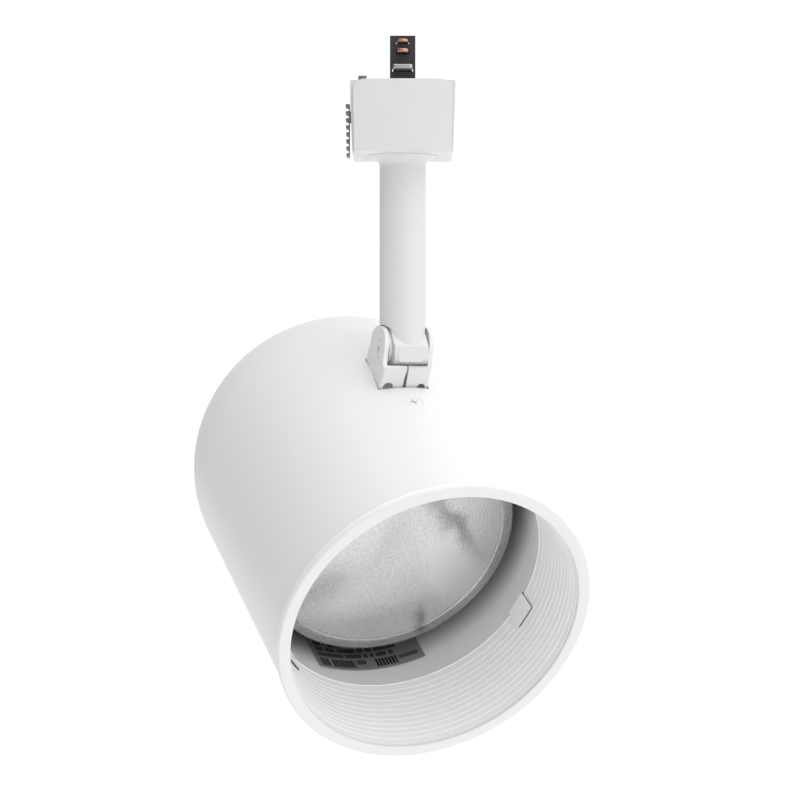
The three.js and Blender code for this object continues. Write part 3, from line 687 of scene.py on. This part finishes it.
def make_adapter_cover():
    """The front pad: rounded top corners, a slightly bowed face and a soft front edge."""
    half, height, corner = COVER["half"], ADAPTER["height"], COVER["corner"]
    narrow = half - COVER["draft"]
    outline = [(-narrow, -height), (narrow, -height)]
    outline += arc(half - corner, -corner, corner, 0, 90, 10)
    outline += arc(-half + corner, -corner, corner, 90, 180, 10)
    slab = pushed("adapter_front_pad", outline, "y", COVER["front"], COVER["back"], ROW)
    sweep = COVER["sweep"]
    radius = (half * half + sweep * sweep) / (2 * sweep)
    bow = bar("bow", "z", (0, COVER["front"] + radius), -height - OVERCUT, OVERCUT, radius, ROW,
              segments=720)
    boolean(slab, bow, "INTERSECT")
    bevel(slab, 0.55, 4, 40)
    finish(slab, "adapter", plastic, "adapter_front_cover", angle=50)


def make_release_tab():
    first, half, low_y, high_y = (TAB[k] for k in ("first", "rib_half", "low_y", "high_y"))
    face = -ADAPTER["half"] - 0.15
    root = face - 0.2
    low = first - TAB["pitch"] * (TAB["ribs"] - 1) - half
    tab = box("release_tab_grip", (face - TAB["plate"], low_y, low),
              (face, high_y + 1, first + half), ROW)
    for i in range(TAB["ribs"]):
        z = first - i * TAB["pitch"]
        tip = face - TAB["reach"] + TAB["lean"] * i
        rib = rounded([(root, z - half), (tip, z - half * 0.8), (tip, z + half * 0.8),
                       (root, z + half)], 0.3)
        unite(tab, pushed("rib", rib, "y", low_y, high_y, ROW))
    arm_low, arm_top = TAB["arm_low"], TAB["arm_top"]
    unite(tab, box("arm", (face - 0.4, -1.5, arm_low), (-15.7, 5, arm_top), ROW),
          box("carriage", (-16.1, -1.5, arm_low), (-12, 5, arm_top), ROW),
          box("dog", (-15.8, -1.5, arm_top - 1), (-12.8, 2, 3.2), ROW))
    bevel(tab, 0.12)
    finish(tab, "release", tab_painted_shade, "release_tab")


def make_contact_block():
    half, wide, deep, low = (NECK[k] for k in ("half", "flange_x", "flange_y", "flange_low"))
    block = box("contact_block_neck", (-half, -half, low + 2), (half, half, NECK["top"]), ROW)
    unite(block, box("flange", (-wide, -deep, low), (wide, deep, low + 3), ROW))
    lug, contact = LUG["half_x"] + CLEAR, CONTACT["half"] + CLEAR
    root, end = CONTACT["root"] - 0.4, 6
    line = CONTACT["low"] - CLEAR, CONTACT["low"] + CONTACT["thick"] + CLEAR
    ground = GROUND["low"] - CLEAR, GROUND["low"] + GROUND["thick"] + CLEAR
    carve(block,
          box("lug_slot", (-lug, -end, LUG["low"] - CLEAR),
              (lug, end, LUG["low"] + LUG["thick"] + CLEAR), ROW),
          box("line_slot", (-contact, root, line[0]), (contact, end, line[1]), ROW),
          box("neutral_slot", (-contact, -end, line[0]), (contact, -root, line[1]), ROW),
          box("ground_slot", (-contact, -end, ground[0]), (contact, end, ground[1]), ROW))
    bevel(block, 0.4, 3)
    finish(block, "adapter", black_plastic, "contact_block")


def make_contacts():
    half, reach, root, low = (CONTACT[k] for k in ("half", "reach", "root", "low"))
    strap_r, strap_reach, strap_low = GROUND["half"], GROUND["reach"], GROUND["low"]
    wide, deep = LUG["half_x"], LUG["half_y"]

    def nose(centre, radius):
        start = 0 if centre > 0 else 180
        return arc(0, centre, radius, start, start + 180, 16)

    plates = [(name, name + "_blade",
               [(side * -half, side * root), (side * half, side * root), *nose(side * reach, half)],
               low, CONTACT["thick"], "copper", copper)
              for name, side in (("line_contact", 1), ("neutral_contact", -1))]
    plates.append(("ground_strap", "ground_strap_blade",
                   nose(strap_reach, strap_r) + nose(-strap_reach, strap_r),
                   strap_low, GROUND["thick"], "copper", copper))
    plates.append(("track_lug_plate", "track_lugs", rounded(rectangle((-wide, -deep), (wide, deep)), 1),
                   LUG["low"], LUG["thick"], "steel", steel))
    for replaced, name, outline, bottom, thick, slot, mat in plates:
        plate = pushed(name, outline, "z", bottom, bottom + thick, ROW)
        bevel(plate, 0.25, 3)
        finish(plate, "adapter", mat, replaced)


def cross_recess(name, top, size, place):
    """A tapered cross for a screwdriver, cut into a head whose top faces local +Z."""
    arms = []
    for along_x in (True, False):
        verts = []
        for z, reach, thick in ((top - 1.3, size * 0.35, size * 0.13), (top + 0.4, size, size * 0.2)):
            corners = rectangle((-reach, -thick), (reach, thick))
            verts += [(a, b, z) if along_x else (b, a, z) for a, b in corners]
        faces = [[3, 2, 1, 0], [4, 5, 6, 7], [0, 1, 5, 4], [1, 2, 6, 5], [2, 3, 7, 6], [3, 0, 4, 7]]
        arms.append(orient(new_object(name, verts, faces, place)))
    return unite(arms[0], arms[1])


def make_adapter_screws():
    top = ADAPTER["back"] - CLEAR
    shank, head = COVER_SCREW["shank_r"], COVER_SCREW["head_r"]
    for name, side in (("adapter_screw_left", -1), ("adapter_screw_right", 1)):
        place = facing(ROW, (side * COVER_SCREW["x"], 0, COVER_SCREW["z"]), -pi / 2, "X")
        profile = [(0, -COVER_SCREW["length"]), (shank, 0.5 - COVER_SCREW["length"]),
                   (shank, top - 1.2), (head, top - 1.2), (head, top - 0.5), (2.3, top - 0.1), (0, top)]
        screw = turned(name + "_fine", profile, SMALL, place)
        carve(screw, cross_recess("recess", top, 1.5, place))
        finish(screw, "adapter", steel, name)


def make_lock_spring():
    x, y, radius, wire, turns = (SPRING[k] for k in ("x", "y", "radius", "wire", "turns"))
    low, high = SPRING["low"], SPRING["high"]
    steps, sides = turns * 32, 12
    vertices = []
    for i in range(steps + 1):
        angle = 2 * pi * turns * i / steps
        centre = Vector((x + radius * cos(angle), y + radius * sin(angle),
                         low + (high - low) * i / steps))
        outward = Vector((cos(angle), sin(angle), 0))
        vertices += [centre + wire * (outward * out + UP * up) for out, up in circle(1, sides)]
    faces = [[i * sides + k, i * sides + (k + 1) % sides,
              (i + 1) * sides + (k + 1) % sides, (i + 1) * sides + k]
             for i in range(steps) for k in range(sides)]
    faces += [list(range(sides))[::-1], list(range(steps * sides, (steps + 1) * sides))]
    spring = orient(new_object("lock_spring_coil", vertices, faces, ROW))
    finish(spring, "adapter", steel, "lock_spring")
    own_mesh(spring)


# ---- Stem ----
def make_stem():
    radius, bore, top = STEM["radius"], STEM["bore"], STEM["top"]
    flare, rise = STEM["flare_r"], STEM["flare_height"]
    pivot_z = -PIVOT_DROP
    sweep = [(flare + (flare - radius) * a, top - rise - 0.25 + rise * b)
             for a, b in arc(0, 0, 1, 90, 180, 20)]
    straight = [(radius, top - 6 - 4 * i) for i in range(15)]
    hole, wireway = STEM["nipple_hole"], STEM["wireway"]
    profile = [(hole, top), (hole, top - 2.4), (bore, top - 2.4), (bore, pivot_z + 12),
               (wireway, pivot_z + 9), (wireway, pivot_z - 2), (radius, pivot_z - 2)]
    profile += straight[::-1] + sweep[::-1] + [(flare, top)]
    tube = turned("stem_casting", profile, MEDIUM, STEM_FRAME)
    front, bottom, back, half, crease = (KNUCKLE[k] for k in ("front", "bottom", "back", "half",
                                                              "crease"))
    beyond = 12
    for low, high in ((-beyond, -half), (half, beyond)):
        carve(tube, bar("ear_room", "x", (0, pivot_z), low, high, KNUCKLE["ear_room"], STEM_FRAME,
                        segments=MEDIUM))
    carve(tube, box("below", (-beyond, -beyond, pivot_z - beyond), (beyond, beyond, pivot_z - 1),
                    STEM_FRAME))
    outline = [(-front, crease), (-front, -3.9, 1.5), (-front + 2, bottom, 2)]
    outline += [(2.5, bottom, 2), (5.6, -5.4, 2), (7.4, -3.2, 2), (-back, 0, 2), (-back, 3, 2)]
    outline += [(3.5, 9, 1), (-2, 9, 1), (-5, 5.6, 6)]
    block = pushed("block", [(y, pivot_z + z) for y, z in rounded(outline, 0)], "x", -half, half,
                   STEM_FRAME)
    carve(block, bar("wireway", "z", (0, 0), pivot_z - 9, pivot_z + 10, wireway, STEM_FRAME))
    unite(tube, block)
    raised = rounded(rectangle((-5.2, pivot_z - 4.9), (3.9, pivot_z - 0.4)), 0.8)
    unite(tube, pushed("pad", raised, "y", -front - 0.3, -front + 0.5, STEM_FRAME))
    carve(tube, bar("tapped", "x", (0, pivot_z), -beyond, beyond, PIVOT_HOLE, STEM_FRAME))
    bevel(tube, 0.22, 3, 30)
    finish(tube, "stem", stem_coat, "stem_arm")


def make_pivot_hardware():
    outer = YOKE["half"] - 0.05
    shank, head = PIVOT_SCREW["shank_r"], PIVOT_SCREW["head_r"]
    start, under = outer - PIVOT_SCREW["length"], outer - PIVOT_SCREW["head"]
    near = WASHER["inner_face"]
    for label, side, coat in (("left", -1, paint), ("right", 1, steel)):
        place = facing(STEM_FRAME, (0, 0, -PIVOT_DROP), side * pi / 2, "Y")
        profile = [(0, start), (shank, start), (shank, under), (head, outer - 0.3),
                   (head - 0.1, outer - 0.1), (head - 0.4, outer), (0, outer)]
        screw = turned(f"pivot_screw_{label}_fine", profile, SMALL, place)
        spin = place @ Matrix.Rotation(radians(20), 4, "Z")
        carve(screw, cross_recess("recess", outer, 2.1, spin))
        finish(screw, "stem", paint, f"pivot_screw_{label}")
        rim, far = WASHER[label]
        washer = turned(f"friction_washer_{label}_fine",
                        rounded([(PIVOT_HOLE, near), (rim, near), (rim, far), (PIVOT_HOLE, far)],
                                0.2), MEDIUM, place)
        finish(washer, "stem", coat, f"friction_washer_{label}")


# ---- Head ----
def make_housing():
    radius, wall, front, back, corner = (HOUSING[k] for k in ("radius", "wall", "front", "back",
                                                              "corner"))
    inner, flat, centre = radius - wall, radius - corner, back + corner
    steps, edge = 30, 0.3
    heights = [centre + (front - 0.4 - centre) * i / steps for i in range(1, steps)]
    profile = [(0, back), *arc(flat, centre, corner, -90, 0, 40), *[(radius, z) for z in heights],
               (radius, front - edge), (radius - edge, front), (inner + edge, front),
               (inner, front - edge), *[(inner, z) for z in heights[::-1]],
               *arc(flat, centre, corner - wall, 0, -90, 40), (0, back + wall)]
    shell = turned("housing_can", profile, FINE)
    lean = yoke_lean(SLOT["front"])
    half, rear, ahead = SLOT["half"], SLOT["back"], SLOT["front"]
    slot = [(-half, rear), (half, rear), (half, PIVOT_Z), (half + lean, ahead),
            (lean - half, ahead), (-half, PIVOT_Z)]
    carve(shell, pushed("slot", rounded(slot, 0.6), "y", 45, 60))
    sink = HOUSING_SCREW["sink_r"]
    for _, z in HOUSING_SCREWS:
        place = (screw_shift(z), z)
        carve(shell, bar("sink", "y", place, radius - 2, radius, 1.75, HEAD_FRAME, sink),
              bar("sink_top", "y", place, radius - 0.05, radius + OVERCUT, sink))
    carve(shell, bar("rivet_hole", "z", (0, 0), back - OVERCUT, back + wall + OVERCUT, RIVET_HOLE))
    finish(shell, "head", case_coat_and_painted_light, "housing_shell", angle=30)


def screw_shift(z):
    """The front screw follows the yoke's lean."""
    return HOUSING_SCREW["shift"] if z > PIVOT_Z else 0


def make_housing_screws():
    top, shank = HOUSING["radius"], HOUSING_SCREW["shank_r"]
    start = top - HOUSING_SCREW["length"]
    for label, z in HOUSING_SCREWS:
        place = facing(HEAD_FRAME, (screw_shift(z), 0, z), -pi / 2, "X")
        profile = [(0, start), (shank, start), (shank, top - 1.9), (3.25, top - 0.35),
                   (3.15, top - 0.12), (2.6, top), (0, top)]
        screw = turned(f"housing_screw_{label}_fine", profile, SMALL, place)
        carve(screw, cross_recess("recess", top, 2.0, place @ Matrix.Rotation(0.3, 4, "Z")))
        finish(screw, "head", paint, f"housing_screw_{label}")


def yoke_lean(z):
    """How far the folded front of the yoke sits to the left of the pivot's middle."""
    start, ahead = YOKE["lean_start"], YOKE["ahead"]
    share = max(0, z - PIVOT_Z - start) / (ahead - start)
    return -YOKE["lean"] * ahead * share


def make_yoke():
    half, sheet, slit = YOKE["half"], YOKE["sheet"], YOKE["slit"]
    high_y, back, front = YOKE_BASE["top"], YOKE_BASE["back"], YOKE_BASE["front"]
    low_y = high_y - YOKE_BASE["thick"]
    flange_z = PIVOT_Z + YOKE["ahead"]
    flange_back, ear_back = flange_z - sheet, PIVOT_Z - 12
    inner = half - sheet

    bracket = None
    for side in (-1, 1):
        plan = [(side * half, ear_back, 0), (side * half, flange_z, 1.3),
                (side * slit, flange_z, 0.2), (side * slit, flange_back, 0.2),
                (side * inner, flange_back, 0.5), (side * inner, ear_back, 0)]
        fold = pushed("yoke_fold", rounded(plan, 0, 6), "y", low_y - 0.2, PIVOT_Y + 9)
        bracket = fold if bracket is None else unite(bracket, fold)
    top_y, ear_z = PIVOT_Y + YOKE["top"], PIVOT_Z - 7.6
    side_view = [(top_y, flange_z + 0.01), (top_y, flange_back - 0.2),
                 *arc(PIVOT_Y, PIVOT_Z, YOKE["ear_r"], 75, -75, 28),
                 (PIVOT_Y - 8.5, ear_z), (low_y, ear_z), (low_y, flange_z + 0.01)]
    reach = half + OVERCUT
    boolean(bracket, pushed("side", side_view, "x", -reach, reach), "INTERSECT")
    base = rounded(rectangle((-half, back), (half, front)), 1.5)
    unite(bracket, pushed("web", base, "y", low_y, high_y))
    wedge = [(-slit - 0.01, PIVOT_Y), (slit + 0.01, PIVOT_Y), (slit + 0.65, high_y),
             (-slit - 0.35, high_y)]
    cut_z = flange_z + OVERCUT
    carve(bracket, pushed("wedge", wedge, "z", flange_back - OVERCUT, cut_z))
    centre, pin = (PIVOT_Y, PIVOT_Z), PIVOT_HOLE
    sinks = ((-half - 0.1, 1.5 - half, 3.8, pin), (half - 1.5, half + 0.1, pin, 3.8))
    for (place, radius), (low, high, start_r, end_r) in zip(YOKE_NOTCHES, sinks):
        carve(bracket, bar("notch", "z", (place, HOUSING["radius"] - 0.5), flange_z - 3, cut_z, radius))
        carve(bracket, bar("sink", "x", centre, low, high, start_r, HEAD_FRAME, end_r))
    below, above = low_y - OVERCUT, high_y + OVERCUT
    carve(bracket, bar("pin_hole", "x", centre, -reach, reach, pin),
          bar("wire_hole", "y", (0, PIVOT_Z), below, above, 4),
          *[bar("screw_hole", "y", (screw_shift(z) - yoke_lean(z), z), below, above, 1.9)
            for _, z in HOUSING_SCREWS])
    bevel(bracket, 0.2, 2, 40)
    to_head = HEAD_FRAME.inverted()
    for vertex in bracket.data.vertices:
        local = to_head @ vertex.co
        local.x += yoke_lean(local.z)
        vertex.co = HEAD_FRAME @ local
    finish(bracket, "head", paint, "yoke_bracket")


def make_baffle():
    outer, inner, lip, thick = (RING[k] for k in ("outer", "inner", "lip", "thick"))
    depth, back_r, wall = BAFFLE["depth"], BAFFLE["back_r"], BAFFLE["wall"]

    def cone(d):
        return inner + (back_r - inner) * d / depth

    step, steps = BAFFLE["step"], []
    for i in range(BAFFLE["steps"]):
        d = BAFFLE["first"] + i * BAFFLE["pitch"]
        steps += [(cone(d) + step, -d + 0.16), (cone(d) + step * 0.25, -d + 0.02), (cone(d), -d - 0.12)]
    over = HOUSING["radius"] + CLEAR
    shoulder, soft = inner + wall + 0.4, 0.9
    profile = [(inner + 0.45, 0), (inner + 0.15, -0.12), (inner, -0.45), *steps,
               (back_r + 0.25, -depth + 0.9), (back_r + 0.05, -depth + 0.75), (back_r, -depth + 0.5),
               (back_r + 0.1, -depth + 0.1), (back_r + 0.35, -depth), (back_r + wall, -depth),
               (shoulder, -thick - 0.6), (shoulder, -thick), (over, -thick), (over, -lip),
               (outer - 0.25, -lip), (outer - 0.07, -lip + 0.07), (outer, -lip + 0.25),
               *arc(outer - soft, -soft, soft, 0, 90, 10)]
    finish(turned("baffle_ring", profile, FINE + 64),
           "head", baffle_coat_and_painted_light, "baffle_trim", angle=32)


def make_clips():
    front, sheet, width = CLIP["front"], CLIP["sheet"], CLIP["width"]
    depth, back_r = BAFFLE["depth"], BAFFLE["back_r"]
    lean = (RING["inner"] - back_r) / depth
    rear, in_r = -depth - CLEAR, back_r - CLEAR
    out_r = back_r + BAFFLE["wall"] + CLEAR
    tip_r = in_r + lean * (front + depth)
    bulge_r, end_r = out_r + 1.6, out_r + 0.5
    outline = [(tip_r - sheet, front, 0.1), (tip_r, front, 0.1), (in_r, rear, 0.1), (out_r, rear, 0.2),
               (bulge_r, -29, 1.5), (end_r, -26, 0), (end_r + sheet, -26, 0), (bulge_r + sheet, -29, 1.5),
               (out_r + sheet, rear - sheet, 0.5), (in_r - sheet, rear - sheet, 0.5)]
    for i, angle in enumerate(CLIP["angles"]):
        place = HEAD_FRAME @ Matrix.Rotation(radians(-angle), 4, "Z")
        leaf = pushed(f"spring_clip_{i + 1}", rounded(outline, 0.1), "x", -width / 2, width / 2, place)
        bevel(leaf, 0.08, 2)
        finish(leaf, "head", clip_steel, f"baffle_clip_{i + 1}")


def make_label():
    outer = HOUSING["radius"] - HOUSING["wall"] - CLEAR
    inner = outer - LABEL["thick"]
    start, span = 90 - LABEL["from"], LABEL["to"] - LABEL["from"]
    back, depth = LABEL["back"], LABEL["front"] - LABEL["back"]
    columns, rows = 48, 24
    vertices, grid = [], {}
    for layer, radius in enumerate((inner, outer)):
        for i in range(columns + 1):
            angle = radians(start - span * i / columns)
            for k in range(rows + 1):
                z = back + depth * k / rows
                grid[layer, i, k] = len(vertices)
                vertices.append((radius * cos(angle), radius * sin(angle), z))
    faces = []
    for i in range(columns):
        for k in range(rows):
            quad = [(i, k), (i + 1, k), (i + 1, k + 1), (i, k + 1)]
            faces.append([grid[0, a, b] for a, b in quad])
            faces.append([grid[1, a, b] for a, b in quad[::-1]])
    rim = [(i, 0) for i in range(columns)] + [(columns, k) for k in range(rows)]
    rim += [(i, rows) for i in range(columns, 0, -1)] + [(0, k) for k in range(rows, 0, -1)]
    for a, b in zip(rim, rim[1:] + rim[:1]):
        faces.append([grid[0, *a], grid[1, *a], grid[1, *b], grid[0, *b]])
    label = orient(new_object("rating_sticker", vertices, faces, HEAD_FRAME))
    uv = label.data.uv_layers.new(name="label")
    place_of = {index: (i / columns, k / rows) for (_, i, k), index in grid.items()}
    for loop in label.data.loops:
        uv.data[loop.index].uv = place_of[loop.vertex_index]
    finish(label, "head", foil, "rating_label")


# ---- Lamp holder and lamp ----
def make_socket():
    radius, front, back, bore, floor = (SOCKET[k] for k in ("radius", "front", "back", "bore", "floor"))
    cut = 2.5
    profile = rounded([(TINY, back), (radius - cut, back, 1), (radius, back + cut, 1),
                       (radius, front, 1), (bore, front, 0.6), (bore, floor, 0.5), (TINY, floor)], 0, 6)
    body = turned("socket_porcelain", on_axis(profile), MEDIUM)
    carve(body, bar("contact_hole", "z", (0, 0), back - OVERCUT, floor + OVERCUT,
                    SOCKET["contact_hole"]))
    finish(body, "head", porcelain, "socket_body")
    case, shank, end = HOUSING["back"], RIVET_HOLE - CLEAR, back - 1.3
    profile = [(0, case - 0.9), (2.6, case - 0.85), (3.6, case - 0.55), (3.8, case - CLEAR),
               (shank, case - CLEAR), (shank, end), (0, end)]
    finish(turned("socket_rivet_fine", profile, SMALL), "head", paint, "socket_rivet")


def make_lamp():
    rim, face, dome, band = (LAMP[k] for k in ("rim_r", "face", "dome", "band"))
    lens_r, low, steps = rim - band, face - 0.5, 40
    curve = [(lens_r * (1 - i / steps), low + dome * (1 - (1 - i / steps) ** 2)) for i in range(steps)]
    profile = [(0, face - 4), (rim - 3.2, face - 4), (rim - 0.4, face - 2.9), (rim - 0.05, face - 2.2),
               (rim, face - 1.5), (rim - 0.3, face - 0.6), (rim - 0.9, face - 0.1), (rim - 1.6, face),
               (lens_r + 0.9, face - 0.1), (lens_r + 0.3, face - 0.35), *curve, (0, low + dome)]
    finish(turned("lamp_front_lens", profile, FINE), "lamp", lens_glass, "lamp_lens")

    front = face - 4 - CLEAR
    neck_r, neck_z, foot = LAMP["neck_r"], LAMP["neck_z"], CAP["front"]
    bowl = [(neck_r + (rim - 1.2 - neck_r) * sqrt(i / steps),
             neck_z + (front - neck_z) * i / steps) for i in range(steps + 1)]
    profile = [(0, foot + 3), (10.6, foot + 3), (12, foot + CLEAR), (12.6, foot + CLEAR), *bowl,
               *[(r - LAMP["glass"], z) for r, z in bowl[::-1]], (8, neck_z + 0.5), (8, foot + 5),
               (0, foot + 5)]
    finish(turned("lamp_reflector_bowl", profile, FINE),
           "lamp", mirror, "lamp_reflector", angle=50)

    low = foot + 5 + CLEAR
    profile = rounded([(TINY, low), (3, low, 0.5), (3, low + 9, 1), (5.2, low + 12, 1),
                       (5.2, low + 30, 3), (1.2, low + 35.5, 1), (TINY, low + 36.5)], 0, 6)
    finish(turned("lamp_quartz_capsule", on_axis(profile), SMALL),
           "lamp", quartz, "lamp_capsule")

    radius, thread, pitch, back = (CAP[k] for k in ("radius", "thread", "pitch", "back"))
    root, skirt, points = radius - thread, radius - 2.2, 12
    wall = root - 0.5
    wave = [(radius - thread / 2 - thread / 2 * cos(2 * pi * i / points),
             back + 1 + pitch * i / points) for i in range(points * CAP["turns"] + 1)]
    profile = [(skirt, back), (root, back + 0.6), *wave, (root, foot), (wall, foot),
               (wall, back + 1.2), (skirt, back + 0.5)]
    finish(turned("lamp_screw_cap", profile, MEDIUM),
           "lamp", cap_metal, "lamp_cap", angle=60)


def dress_cad_nodes():
    """CAD nodes whose shape is right keep it and take a material."""
    for mat, names in ((steel, "stem_nipple wave_washer socket_strap"), (black_glass, "lamp_insulator"),
                       (brass, "swivel_nut stem_lock_nut socket_liner socket_contact lamp_contact")):
        for name in names.split():
            materials = frame["nodes"][name].data.materials
            materials.clear()
            materials.append(mat)


# ---- Stage, light and camera ----
FLOOR_DROP = 0.35        # metres below the part's lowest point
FLOOR_HALF = 6           # metres


def make_stage():
    height = cad_box[0][2] - FLOOR_DROP
    corners = rectangle((-FLOOR_HALF, -FLOOR_HALF), (FLOOR_HALF, FLOOR_HALF))
    floor = new_object("floor", [(x, y, height) for x, y in corners], [[0, 1, 2, 3]],
                       Matrix.Identity(4))
    mat = shader("floor_white", (0.8,) * 3, 0.8, Emission_Color=(1, 1, 1, 1), Emission_Strength=0.17)
    floor.data.materials.append(mat)


# Broad soft lights round the studio: elevation and azimuth in degrees, then brightness.
SOFT_LIGHTS = (
    (10, 0, 0.6), (10, 45, 0.48), (10, 135, 0.04), (10, 315, 0.66),
    (50, 0, 0.38), (50, 90, 0.85), (50, 180, 0.2), (50, 225, 0.24), (50, 270, 0.72),
    (50, 315, 0.6), (90, 0, 0.74),
)
SOFTNESS = 5.0
BACKDROP = 1.05
BACKDROP_EDGE = (0.82, 0.96)              # share of the way straight back, where it fades in
CAMERA = {"sensor": 36, "lens": 131.2, "place": (-0.94, -1034.1, -131.8), "pitch": 91.1}


def make_world():
    """A dim studio with broad soft lights, and a bright white backdrop behind the object."""
    world = bpy.data.worlds.new("studio")
    bpy.context.scene.world = world
    world.use_nodes = True
    background = world.node_tree.nodes["Background"]
    direction = object_space(world, "Generated")
    glow = 0.0
    for elevation, azimuth, strength in SOFT_LIGHTS:
        up, around = radians(elevation), radians(azimuth)
        towards = along(world, direction, (cos(up) * cos(around), cos(up) * sin(around), sin(up)))
        falloff = maths(world, "MULTIPLY_ADD", towards, SOFTNESS, -SOFTNESS)
        glow = maths(world, "MULTIPLY_ADD", maths(world, "EXPONENT", falloff), strength, glow)
    behind = ranged(world, along(world, direction, (0, 1, 0)), 0, 1, *BACKDROP_EDGE,
                    interpolation_type="SMOOTHSTEP")
    rest = maths(world, "MULTIPLY", glow, maths(world, "SUBTRACT", 1.0, behind))
    link(world, maths(world, "MULTIPLY_ADD", behind, BACKDROP, rest), background.inputs["Strength"])
    background.inputs["Color"].default_value = (1, 1, 1, 1)


def make_camera():
    """Seen from about a metre away, level with the middle of the stem and looking slightly up."""
    camera = bpy.data.cameras.new("camera")
    camera.sensor_width = CAMERA["sensor"]
    camera.lens = CAMERA["lens"]
    camera.clip_end = 50
    view = bpy.data.objects.new("camera", camera)
    view.location = Vector(CAMERA["place"]) * MM
    view.rotation_euler = (radians(CAMERA["pitch"]), 0, 0)
    bpy.context.scene.collection.objects.link(view)
    bpy.context.scene.camera = view


for build in (make_adapter_housing, make_adapter_cover, make_release_tab, make_contact_block,
              make_contacts, make_adapter_screws, make_lock_spring, make_stem, make_pivot_hardware,
              make_housing, make_housing_screws, make_yoke, make_baffle, make_clips, make_label,
              make_socket, make_lamp, dress_cad_nodes, make_stage, make_world, make_camera):
    build()

bpy.context.scene.view_settings.view_transform = "Standard"
